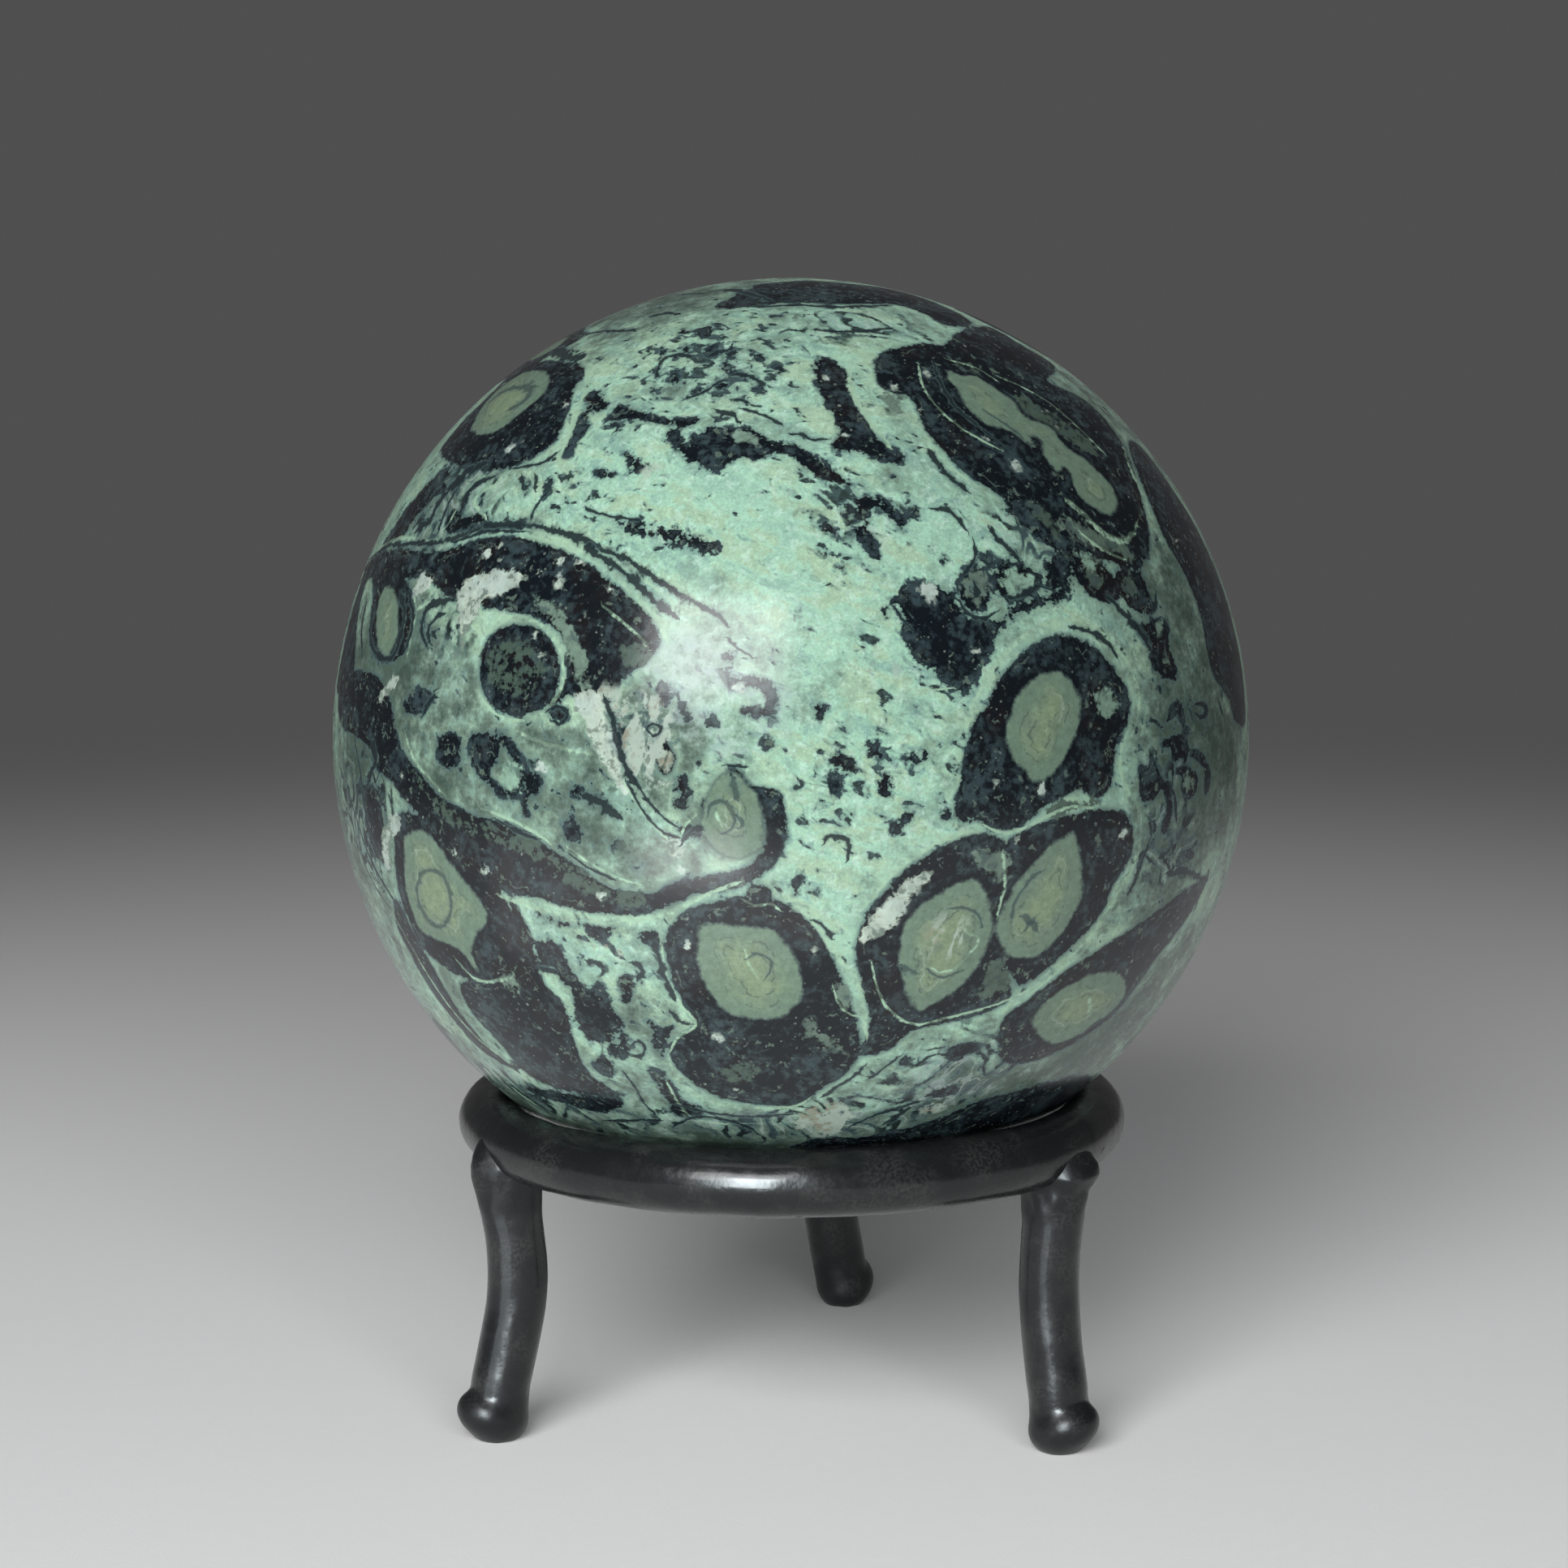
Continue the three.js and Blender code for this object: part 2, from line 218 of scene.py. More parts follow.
        (1444, 1004), (1440, 1022), (1426, 1036), (1414, 1048), (1408, 1062), (1402, 1068), (1406, 1050), (1418, 1036),
        (1432, 1020), (1437, 1000), (1436, 982), (1430, 976), (1424, 985), (1414, 989), (1405, 984), (1403, 962)]),
]

# Flecks: middle, half width and half height in pixels, and turn in degrees.
DARK_FLECKS = [
    (890, 476, 9, 8, 20), (831, 468, 6, 9, 0), (1038, 939, 17, 9, 15), (1079, 928, 7, 13, -25), (1090, 969, 9, 19, 5),
    (1027, 969, 7, 13, 0), (1124, 936, 9, 6, 30), (1140, 928, 6, 8, 0), (982, 1088, 5, 14, 20),
    (1119, 1005, 10, 7, -30), (1104, 1022, 7, 10, 10), (1010, 990, 5, 8, 30), (1008, 876, 8, 10, -20),
    (1166, 1004, 9, 7, -20), (1188, 1008, 10, 9, 0), (515, 865, 24, 12, -35), (1040, 700, 5, 4, 0),
    (1238, 700, 6, 9, 10), (1216, 690, 9, 5, 30), (1256, 680, 7, 5, -20), (870, 408, 10, 6, -30), (846, 430, 7, 5, 20),
    (876, 432, 10, 6, -35), (818, 432, 6, 5, 0), (902, 436, 6, 5, 0), (858, 484, 8, 4, -20), (808, 460, 5, 6, 0),
    (910, 462, 12, 4, 25), (936, 440, 8, 4, 20), (894, 452, 7, 4, 0), (842, 408, 8, 4, -20), (960, 455, 7, 4, 30),
    (934, 478, 8, 4, 20), (1466, 1051, 6, 5, 0), (687, 880, 11, 7, 10), (845, 880, 5, 15, -20), (838, 965, 8, 12, 20),
    (817, 856, 9, 13, 0), (838, 992, 5, 9, 30), (705, 1024, 10, 14, 0), (762, 1042, 9, 6, 30), (711, 975, 8, 7, 0),
    (640, 960, 7, 9, 0), (1090, 756, 7, 6, 0), (982, 758, 6, 5, 30), (1166, 1345, 22, 6, -15),
    (1184, 1296, 20, 11, -25), (1112, 1308, 9, 5, -30), (890, 1010, 5, 9, 0), (870, 995, 6, 7, 0),
    (700, 1300, 7, 12, -20), (1234, 1480, 4, 4, 0), (648, 600, 4, 9, 0), (676, 600, 4, 12, 15), (756, 899, 5, 9, -10),
    (773, 905, 6, 10, -15), (777, 948, 7, 14, -15), (897, 811, 8, 8, 0), (877, 891, 8, 6, 0), (945, 915, 9, 6, 0),
    (862, 935, 5, 6, 0), (648, 890, 9, 5, 10), (850, 1024, 14, 6, 20), (842, 984, 6, 11, 0), (1148, 678, 5, 4, 0),
    (1163, 689, 4, 5, 0), (1126, 632, 6, 7, 20), (1090, 712, 6, 5, 0), (1100, 742, 6, 5, 0), (1431, 848, 5, 5, 0),
    (1464, 1052, 6, 5, 0), (1403, 884, 4, 3, 0), (1420, 1020, 5, 8, 0), (505, 632, 6, 20, 40), (528, 610, 5, 18, 38),
    (545, 600, 8, 8, 0), (1020, 652, 6, 9, 20), (1040, 628, 6, 5, 0),
]

# Sage cores of the eyes, inside their dark bodies.
CORES = [
    [(582, 531), (586, 516), (604, 490), (630, 468), (653, 458), (673, 460), (673, 479), (664, 490), (645, 505),
        (623, 523), (604, 534)],
    [(1167, 455), (1184, 463), (1200, 464), (1217, 473), (1233, 484), (1248, 496), (1258, 509), (1268, 517),
        (1284, 523), (1297, 530), (1306, 542), (1316, 553), (1331, 562), (1346, 575), (1360, 588), (1370, 602),
        (1377, 618), (1374, 631), (1364, 634), (1351, 627), (1337, 617), (1327, 605), (1324, 591), (1317, 579),
        (1310, 574), (1303, 580), (1295, 574), (1287, 560), (1284, 547), (1278, 538), (1268, 536), (1276, 553),
        (1262, 543), (1247, 532), (1232, 526), (1219, 524), (1207, 515), (1195, 504), (1187, 492), (1181, 480),
        (1171, 469)],
    [(1300, 829), (1316, 836), (1328, 856), (1330, 880), (1324, 906), (1311, 932), (1296, 952), (1280, 962),
        (1268, 958), (1263, 946), (1250, 936), (1242, 914), (1242, 890), (1249, 866), (1262, 846), (1280, 833)],
    [(1202, 1084), (1215, 1105), (1221, 1133), (1214, 1170), (1198, 1200), (1172, 1222), (1146, 1238), (1131, 1241),
        (1119, 1222), (1110, 1192), (1109, 1166), (1116, 1140), (1135, 1118), (1161, 1099), (1183, 1088)],
    [(1313, 1029), (1324, 1025), (1329, 1047), (1333, 1081), (1329, 1110), (1314, 1140), (1295, 1163), (1272, 1178),
        (1250, 1178), (1234, 1163), (1228, 1140), (1238, 1118), (1250, 1096), (1269, 1070), (1287, 1051)],
    [(1270, 1260), (1283, 1243), (1306, 1222), (1332, 1207), (1354, 1200), (1373, 1200), (1386, 1212), (1384, 1228),
        (1365, 1250), (1339, 1269), (1317, 1280), (1295, 1285), (1280, 1274)],
    [(500, 1032), (519, 1025), (538, 1040), (556, 1066), (575, 1088), (590, 1110), (598, 1133), (584, 1153),
        (580, 1174), (588, 1196), (574, 1178), (556, 1164), (534, 1156), (515, 1140), (508, 1122), (500, 1088),
        (498, 1058)],
    [(865, 1140), (894, 1139), (920, 1143), (950, 1148), (973, 1170), (986, 1196), (983, 1233), (960, 1253),
        (913, 1253), (887, 1237), (872, 1215), (862, 1189), (862, 1159)],
    [(476, 724), (486, 732), (491, 755), (488, 785), (478, 808), (468, 800), (463, 775), (466, 744)],
    [(866, 1004), (876, 976), (890, 956), (904, 952), (916, 960), (927, 978), (937, 1002), (943, 1022), (939, 1042),
        (925, 1053), (905, 1057), (884, 1047), (868, 1028)],
]

# Green islands in the dark bodies: how bright, from 0 for grey green to 1 for mint, and the outline.
ISLANDS = [
    (0.03, [(506, 946), (530, 972), (560, 1000), (600, 1016), (650, 1034), (700, 1064), (750, 1094), (792, 1105),
        (786, 1113), (740, 1106), (690, 1080), (640, 1050), (590, 1028), (548, 1006), (516, 972)]),
    (0.5, [(1462, 954), (1470, 956), (1470, 968), (1465, 976), (1460, 970), (1459, 960)]),
    (0.5, [(1426, 770), (1432, 772), (1433, 784), (1428, 786), (1424, 778)]),
    (0.2, [(1386, 706), (1394, 708), (1398, 722), (1392, 732), (1384, 724), (1382, 712)]),
    (0.2, [(1336, 698), (1352, 706), (1362, 722), (1350, 724), (1338, 712)]),
    (0.08, [(612, 798), (632, 792), (654, 800), (666, 818), (662, 842), (644, 854), (620, 852), (606, 836),
        (602, 814)]),
    (0.12, [(764, 800), (782, 794), (800, 798), (803, 812), (788, 820), (770, 816)]),
    (0.1, [(814, 922), (822, 919), (828, 932), (825, 948), (818, 948), (813, 936)]),
    (0.2, [(760, 1037), (770, 1040), (779, 1052), (762, 1053)]),
    (0.4, [(1301, 640), (1316, 636), (1334, 650), (1342, 664), (1322, 660), (1306, 650)]),
    (0.7, [(1323, 682), (1340, 684), (1362, 700), (1356, 706), (1336, 698)]),
    (0.3, [(768, 1210), (774, 1208), (777, 1220), (774, 1230), (768, 1224)]),
    (0.35, [(1432, 806), (1438, 802), (1441, 816), (1436, 824)]),
    (0.3, [(1195, 712), (1207, 706), (1213, 724), (1208, 742), (1195, 744), (1189, 728)]),
    (0.75, [(1237, 706), (1256, 703), (1272, 716), (1264, 729), (1246, 733), (1235, 722)]),
    (0.55, [(905, 536), (922, 533), (938, 540), (930, 546), (910, 544)]),
    (0.45, [(662, 735), (676, 742), (694, 761), (712, 792), (724, 822), (726, 848), (716, 850), (708, 820), (696, 790),
        (680, 764), (664, 748)]),
    (0.6, [(1350, 858), (1362, 850), (1374, 862), (1370, 882), (1356, 884)]),
    (0.35, [(1203, 1056), (1222, 1049), (1240, 1056), (1241, 1082), (1228, 1082), (1212, 1068)]),
    (0.2, [(1222, 1184), (1246, 1196), (1246, 1214), (1228, 1224), (1208, 1224)]),
    (0.3, [(982, 1262), (996, 1254), (1008, 1262), (1004, 1276), (988, 1276)]),
    (0.3, [(1001, 1272), (1022, 1278), (1044, 1294), (1036, 1300), (1014, 1290)]),
    (0.1, [(892, 1318), (912, 1310), (934, 1318), (926, 1330), (902, 1332)]),
    (0.75, [(620, 942), (632, 940), (641, 952), (638, 968), (626, 972), (618, 960)]),
    (0.45, [(538, 1188), (552, 1196), (568, 1222), (572, 1242), (558, 1226), (544, 1206)]),
    (0.5, [(619, 1199), (636, 1200), (634, 1228), (626, 1216), (612, 1206)]),
    (0.25, [(1322, 640), (1350, 655), (1385, 672), (1396, 690), (1378, 684), (1350, 672), (1326, 656)]),
    (0.4, [(1086, 482), (1104, 490), (1118, 510), (1124, 520), (1104, 510), (1090, 496)]),
    (0.12, [(1170, 440), (1192, 446), (1206, 458), (1190, 458), (1172, 450)]),
    (0.13, [(1270, 622), (1290, 630), (1306, 650), (1300, 658), (1284, 644)]),
    (0.14, [(1250, 484), (1284, 500), (1316, 520), (1346, 545), (1352, 560), (1330, 552), (1300, 532), (1268, 510)]),
    (0.2, [(1288, 1000), (1310, 990), (1340, 986), (1352, 992), (1330, 998), (1304, 1006)]),
    (0.4, [(1030, 1208), (1042, 1216), (1050, 1240), (1040, 1244), (1030, 1226)]),
]

# Areas whose green is duller than outside them: how much, and the outline.
DULL_BODIES = [
    (0.78, [(556, 878), (580, 866), (604, 880), (640, 892), (690, 896), (712, 886), (732, 922), (760, 962),
        (800, 1004), (826, 1026), (850, 1046), (868, 1064), (846, 1090), (804, 1102), (750, 1096), (690, 1068),
        (640, 1032), (594, 1018), (552, 992), (536, 944)]),
    (0.75, [(500, 722), (560, 745), (574, 790), (592, 852), (580, 872), (552, 886), (540, 940), (556, 994), (528, 980),
        (500, 940), (486, 900), (474, 860), (470, 812), (480, 760)]),
    (0.95, [(852, 1030), (838, 1000), (848, 970), (868, 950), (895, 946), (915, 960), (930, 985), (942, 1015),
        (935, 1045), (905, 1060), (875, 1052)]),
    (0.8, [(740, 858), (790, 850), (850, 870), (868, 905), (860, 950), (842, 985), (818, 1000), (785, 975),
        (762, 930)]),
    (0.25, [(645, 570), (700, 560), (745, 590), (690, 640), (640, 640)]),
]

# White and cream quartz.
PALE_BODIES = [
    [(567, 724), (578, 712), (606, 704), (640, 706), (642, 718), (622, 730), (598, 738), (590, 758), (576, 778),
        (570, 800), (565, 770), (563, 744)],
    [(510, 722), (520, 710), (532, 716), (526, 728), (512, 734)],
    [(1112, 1086), (1131, 1076), (1152, 1072), (1140, 1090), (1120, 1107), (1112, 1126), (1096, 1146), (1070, 1160),
        (1059, 1156), (1068, 1136), (1088, 1116)],
    [(487, 1004), (492, 1016), (482, 1034), (480, 1056), (483, 1072), (475, 1068), (471, 1036), (470, 1022)],
    [(1138, 722), (1150, 720), (1154, 730), (1147, 741), (1141, 734)],
    [(466, 860), (474, 846), (488, 832), (492, 836), (480, 852), (468, 868)],
    [(710, 854), (726, 849), (740, 857), (748, 880), (757, 902), (764, 930), (769, 955), (776, 973), (764, 970),
        (746, 950), (731, 925), (720, 900), (714, 878)],
    [(785, 880), (793, 886), (799, 905), (801, 928), (808, 950), (820, 962), (836, 960), (828, 968), (812, 970),
        (800, 958), (793, 935), (790, 905)],
    [(816, 1027), (830, 1031), (844, 1043), (836, 1056), (823, 1050)],
]

# White specks in the dark bodies: middle, half width and half height in pixels.
WHITE_SPECKS = [
    (1289, 507, 4, 3), (1320, 520, 3, 3), (1289, 590, 2, 2), (664, 945, 4, 4), (912, 848, 7, 4), (840, 1072, 2, 2),
    (601, 683, 4, 6), (614, 672, 3, 3), (614, 691, 2, 3), (657, 692, 4, 4), (690, 692, 3, 2), (647, 711, 4, 5),
    (664, 705, 3, 3), (688, 718, 7, 7), (716, 694, 4, 3), (723, 759, 4, 4), (733, 754, 3, 4), (749, 726, 3, 3),
    (660, 782, 2, 5), (668, 806, 4, 2), (1525, 980, 3, 5), (696, 497, 3, 3), (628, 552, 2, 3), (1016, 466, 3, 2),
    (1103, 477, 4, 4), (1134, 508, 2, 2), (1162, 508, 2, 2), (1144, 461, 2, 2), (1251, 573, 3, 3), (1217, 539, 3, 2),
    (1039, 537, 6, 3), (1203, 802, 3, 3), (1228, 966, 3, 6), (1282, 972, 4, 4), (1255, 1034, 3, 3), (502, 985, 2, 5),
    (596, 1072, 3, 4), (496, 955, 2, 4), (1451, 667, 3, 3), (559, 1051, 2, 2), (1178, 1053, 3, 3), (848, 1168, 3, 3),
    (1383, 1028, 3, 3), (1004, 1172, 3, 3), (740, 1104, 4, 3), (884, 1278, 4, 3), (1256, 1225, 3, 2),
]

# Thin dark lines and thin pale lines: thickness and points in pixels.
DARK_LINES = [
    (5, [(601, 497), (623, 481), (649, 477), (653, 486), (640, 498), (626, 505)]),
    (5, [(972, 536), (986, 535), (1000, 541), (1022, 541)]),
    (5, [(842, 493), (860, 486), (876, 478), (888, 470), (900, 468)]),
    (5, [(809, 464), (811, 452), (818, 442), (836, 437), (852, 438)]),
    (6, [(872, 440), (884, 434), (898, 431), (903, 424)]),
    (5, [(900, 462), (914, 462), (928, 465), (942, 474)]),
    (4, [(902, 492), (914, 494), (922, 497)]),
    (4, [(754, 522), (762, 526), (756, 534)]),
    (4, [(880, 505), (902, 511), (911, 521)]),
    (4, [(913, 503), (939, 511), (965, 524)]),
    (5, [(683, 430), (700, 438), (718, 441)]),
    (4, [(716, 412), (750, 408), (783, 408)]),
    (5, [(801, 390), (820, 386), (839, 387)]),
    (5, [(835, 363), (865, 361), (898, 357), (925, 362), (950, 370)]),
    (6, [(928, 378), (960, 377), (980, 376), (1040, 378), (1101, 376)]),
    (5, [(1001, 406), (1030, 408), (1060, 408), (1100, 404)]),
    (4, [(720, 627), (757, 638), (790, 640)]),
    (5, [(455, 690), (480, 672), (510, 670), (545, 668), (590, 652), (640, 649), (690, 655), (740, 675), (790, 700),
        (830, 728), (870, 750), (897, 770)]),
    (9, [(720, 673), (745, 690), (775, 712), (805, 738), (835, 762)]),
    (5, [(493, 731), (498, 757), (493, 787), (480, 812), (462, 804), (456, 776), (463, 745)]),
    (5, [(504, 730), (509, 760), (506, 780), (500, 800)]),
    (3, [(441, 757), (434, 780), (430, 800)]),
    (4, [(452, 740), (446, 770), (446, 810)]),
    (6, [(527, 797), (520, 776), (523, 755), (536, 742), (560, 738)]),
    (6, [(531, 795), (528, 775), (538, 760), (548, 756)]),
    (8, [(612, 585), (590, 596), (573, 612), (568, 632)]),
    (12, [(600, 570), (570, 586), (545, 613), (530, 640), (512, 655)]),
    (5, [(566, 598), (552, 622), (540, 655)]),
    (7, [(596, 648), (620, 645), (648, 648)]),
    (4, [(642, 586), (645, 603)]),
    (4, [(660, 584), (660, 604)]),
    (4, [(679, 603), (660, 624), (653, 642)]),
    (4, [(630, 578), (668, 570), (688, 556)]),
    (3, [(523, 627), (541, 598), (560, 584)]),
    (4, [(1317, 772), (1347, 780), (1364, 792), (1376, 810)]),
    (3, [(1212, 505), (1240, 524), (1262, 540)]),
    (9, [(1144, 555), (1164, 582), (1194, 607)]),
    (7, [(1218, 650), (1240, 674), (1258, 692)]),
    (4, [(1146, 627), (1164, 628), (1178, 637), (1193, 657)]),
    (4, [(1199, 664), (1202, 680), (1199, 694), (1188, 708)]),
    (4, [(1180, 738), (1192, 756), (1212, 762), (1230, 752)]),
    (4, [(1200, 716), (1204, 730), (1200, 738)]),
    (4, [(1240, 736), (1262, 732), (1278, 722), (1298, 728)]),
    (8, [(1364, 735), (1380, 752), (1398, 768), (1408, 784), (1418, 800)]),
    (5, [(1424, 730), (1424, 744), (1420, 756)]),
    (6, [(1408, 1058), (1400, 1082), (1388, 1104)]),
    (5, [(1444, 972), (1448, 992), (1450, 1014)]),
    (5, [(1416, 1012), (1418, 1030)]),
    (4, [(1502, 866), (1508, 882)]),
    (4, [(1404, 1068), (1414, 1044), (1422, 1020)]),
    (3, [(1437, 1076), (1460, 1074), (1488, 1084)]),
    (3, [(1470, 870), (1480, 866), (1487, 876), (1480, 884), (1472, 878)]),
    (4, [(1246, 1135), (1250, 1112), (1269, 1084), (1285, 1072)]),
    (3, [(1260, 1128), (1270, 1137), (1279, 1148)]),
    (3, [(1279, 1127), (1269, 1138), (1262, 1148)]),
    (4, [(516, 1080), (532, 1072), (548, 1082), (556, 1106), (553, 1130), (542, 1142), (528, 1134), (516, 1112),
        (514, 1094), (518, 1079)]),
    (3, [(1168, 1120), (1186, 1118), (1204, 1126), (1210, 1142)]),
    (3, [(1142, 1194), (1160, 1204), (1184, 1196)]),
    (3, [(920, 1182), (932, 1175), (948, 1182), (950, 1196), (942, 1206)]),
    (7, [(806, 1160), (812, 1182), (820, 1206), (832, 1232)]),
    (5, [(722, 1183), (735, 1186), (744, 1190)]),
    (6, [(777, 1186), (788, 1190), (792, 1200), (786, 1207)]),
    (5, [(826, 1246), (838, 1258), (852, 1262)]),
    (4, [(664, 1192), (690, 1198)]),
    (3, [(777, 1290), (785, 1282), (795, 1290), (790, 1302), (779, 1300)]),
    (3, [(768, 1320), (782, 1340), (792, 1358), (808, 1373)]),
    (5, [(828, 1389), (845, 1380), (865, 1376), (894, 1380), (930, 1392)]),
    (3, [(745, 1381), (815, 1380)]),
    (4, [(828, 1360), (880, 1372), (930, 1376), (980, 1372)]),
    (5, [(1045, 1389), (1086, 1372), (1135, 1356)]),
    (6, [(1086, 1386), (1106, 1374), (1124, 1363)]),
    (4, [(1012, 1352), (1030, 1340), (1052, 1326), (1066, 1312)]),
    (4, [(1070, 1330), (1090, 1316), (1110, 1300)]),
    (3, [(1001, 1133), (1014, 1140), (1026, 1156)]),
    (4, [(1130, 1200), (1110, 1190)]),
    (4, [(1014, 1038), (1022, 1030), (1040, 1032), (1048, 1044), (1044, 1060)]),
    (3, [(608, 1008), (638, 1024), (664, 1034)]),
    (3, [(701, 1052), (727, 1070), (757, 1084)]),
    (3, [(772, 962), (790, 996), (813, 1022), (836, 1032)]),
    (3, [(782, 958), (796, 984), (818, 1008), (836, 1020)]),
    (8, [(714, 980), (735, 986), (750, 997), (766, 1008)]),
    (4, [(676, 876), (688, 870), (700, 880), (692, 892), (680, 888)]),
    (4, [(520, 880), (530, 862), (540, 858)]),
    (4, [(436, 905), (442, 940), (448, 980), (454, 1020), (468, 1060)]),
    (4, [(458, 912), (464, 935), (456, 955), (450, 975)]),
    (4, [(432, 985), (446, 1030), (462, 1070), (486, 1110)]),
    (3, [(440, 1040), (456, 1080), (480, 1120)]),
    (4, [(838, 1040), (856, 1020), (868, 1022)]),
    (3, [(1338, 1268), (1368, 1248), (1398, 1216), (1420, 1186)]),
    (4, [(896, 786), (904, 794), (918, 804), (928, 812)]),
    (6, [(744, 858), (752, 880), (760, 905), (766, 930), (774, 952), (784, 968)]),
    (4, [(800, 903), (798, 896), (806, 892), (815, 898), (808, 906), (801, 904)]),
    (4, [(872, 1006), (875, 992), (888, 986), (899, 993), (905, 1008), (900, 1022), (888, 1028)]),
    (3, [(906, 1006), (914, 1009), (913, 1020), (906, 1021)]),
    (6, [(902, 954), (905, 970), (909, 986)]),
    (4, [(893, 943), (906, 944), (920, 945)]),
    (4, [(1124, 776), (1110, 760), (1100, 745)]),
    (3, [(560, 668), (601, 655), (650, 655)]),
    (3, [(1150, 446), (1158, 470), (1176, 500), (1204, 524), (1240, 552)]),
]
PALE_LINES = [
    (6, [(723, 453), (723, 479), (712, 501), (701, 538), (690, 560)]),
    (4, [(625, 470), (606, 484)]),
    (5, [(463, 678), (493, 663), (530, 667), (560, 662), (601, 650), (640, 648), (672, 655), (712, 668), (735, 684)]),
    (7, [(640, 660), (697, 672), (740, 694), (780, 730), (812, 766), (822, 790)]),
    (5, [(650, 654), (697, 662), (745, 684), (800, 718), (842, 756)]),
    (5, [(602, 770), (622, 760), (645, 760), (668, 771), (684, 790), (693, 812), (694, 838), (684, 862), (666, 882),
        (640, 888), (614, 882), (598, 866)]),
    (5, [(881, 1000), (886, 1009), (890, 1018)]),
    (5, [(511, 735), (512, 760), (506, 790), (500, 815)]),
    (4, [(512, 752), (530, 742), (556, 740)]),
    (5, [(636, 900), (660, 912), (700, 924), (731, 929)]),
    (3, [(850, 590), (875, 615), (902, 642)]),
    (4, [(612, 580), (588, 592), (570, 612), (556, 640), (540, 660)]),
    (4, [(600, 640), (585, 622), (590, 608), (612, 596)]),
    (7, [(1060, 440), (1048, 452), (1050, 480), (1066, 510), (1088, 540), (1098, 552)]),
    (4, [(1131, 448), (1138, 478), (1160, 507), (1188, 530), (1232, 554)]),
    (4, [(1164, 442), (1202, 453), (1230, 470)]),
    (4, [(1225, 462), (1262, 478), (1298, 500), (1334, 532), (1362, 560)]),
    (8, [(1313, 615), (1332, 631), (1350, 649), (1368, 662), (1386, 666), (1398, 656)]),
    (3, [(1398, 654), (1402, 640)]),
    (4, [(1138, 540), (1166, 570), (1202, 598), (1238, 622)]),
    (4, [(1330, 655), (1356, 676), (1386, 690)]),
    (6, [(1384, 549), (1392, 575), (1408, 610), (1420, 642), (1440, 690)]),
    (6, [(1189, 900), (1200, 865), (1222, 825), (1258, 786), (1300, 764), (1340, 768), (1372, 794), (1396, 830),
        (1404, 870), (1396, 905)]),
    (4, [(1210, 1016), (1236, 1026), (1262, 1020), (1290, 1006), (1320, 994), (1352, 996)]),
    (7, [(1388, 905), (1380, 940), (1390, 975), (1404, 1000), (1405, 1035), (1396, 1068), (1378, 1100), (1362, 1130),
        (1336, 1162), (1302, 1198), (1266, 1228)]),
    (5, [(1236, 1050), (1238, 1090), (1228, 1130)]),
    (4, [(1074, 1186), (1082, 1220), (1098, 1247), (1127, 1262), (1168, 1254), (1220, 1240), (1257, 1225),
        (1296, 1202)]),
    (6, [(1198, 1022), (1160, 1036), (1122, 1060), (1090, 1088), (1064, 1118)]),
    (4, [(1186, 1136), (1192, 1150), (1206, 1156), (1200, 1170), (1188, 1180), (1180, 1192), (1160, 1198),
        (1146, 1192)]),
    (6, [(1250, 1232), (1236, 1248), (1228, 1266)]),
    (5, [(1342, 1230), (1344, 1250)]),
    (7, [(612, 1102), (650, 1116), (700, 1126), (748, 1131), (792, 1131), (828, 1122), (862, 1106), (912, 1086)]),
    (4, [(813, 1144), (816, 1172), (822, 1200), (838, 1236), (858, 1262), (836, 1278), (824, 1298)]),
    (5, [(824, 1300), (834, 1330), (866, 1354), (912, 1364), (975, 1364), (1000, 1352)]),
    (7, [(985, 1118), (1008, 1142), (1034, 1180), (1056, 1208), (1064, 1240), (1068, 1280)]),
    (3, [(1026, 1214), (1034, 1238), (1048, 1250), (1062, 1252)]),
    (4, [(914, 1108), (930, 1116), (950, 1114), (962, 1122)]),
    (4, [(766, 958), (784, 990), (808, 1020), (824, 1034)]),
    (4, [(590, 996), (614, 1004), (642, 1016), (678, 1038)]),
    (4, [(700, 1044), (728, 1064), (757, 1080), (790, 1090)]),
    (4, [(838, 1030), (846, 1014), (858, 1006)]),
    (3, [(1086, 843), (1116, 857), (1146, 851), (1176, 847)]),
    (5, [(480, 1118), (510, 1172), (545, 1228), (585, 1276), (628, 1310)]),
    (4, [(500, 905), (510, 935), (530, 960), (552, 984)]),
    (4, [(560, 1180), (580, 1202), (600, 1210), (630, 1204)]),
    (4, [(740, 745), (762, 762), (785, 782), (800, 800)]),
    # These two short pale lines are painted highlights: the glints of small lamps on the polish.
    (3, [(790, 605), (815, 607), (850, 608)]),
    (3, [(830, 587), (850, 588)]),
    (4, [(820, 1330), (846, 1372), (884, 1384), (940, 1384)]),
    (3, [(918, 1170), (924, 1190), (936, 1208)]),
]

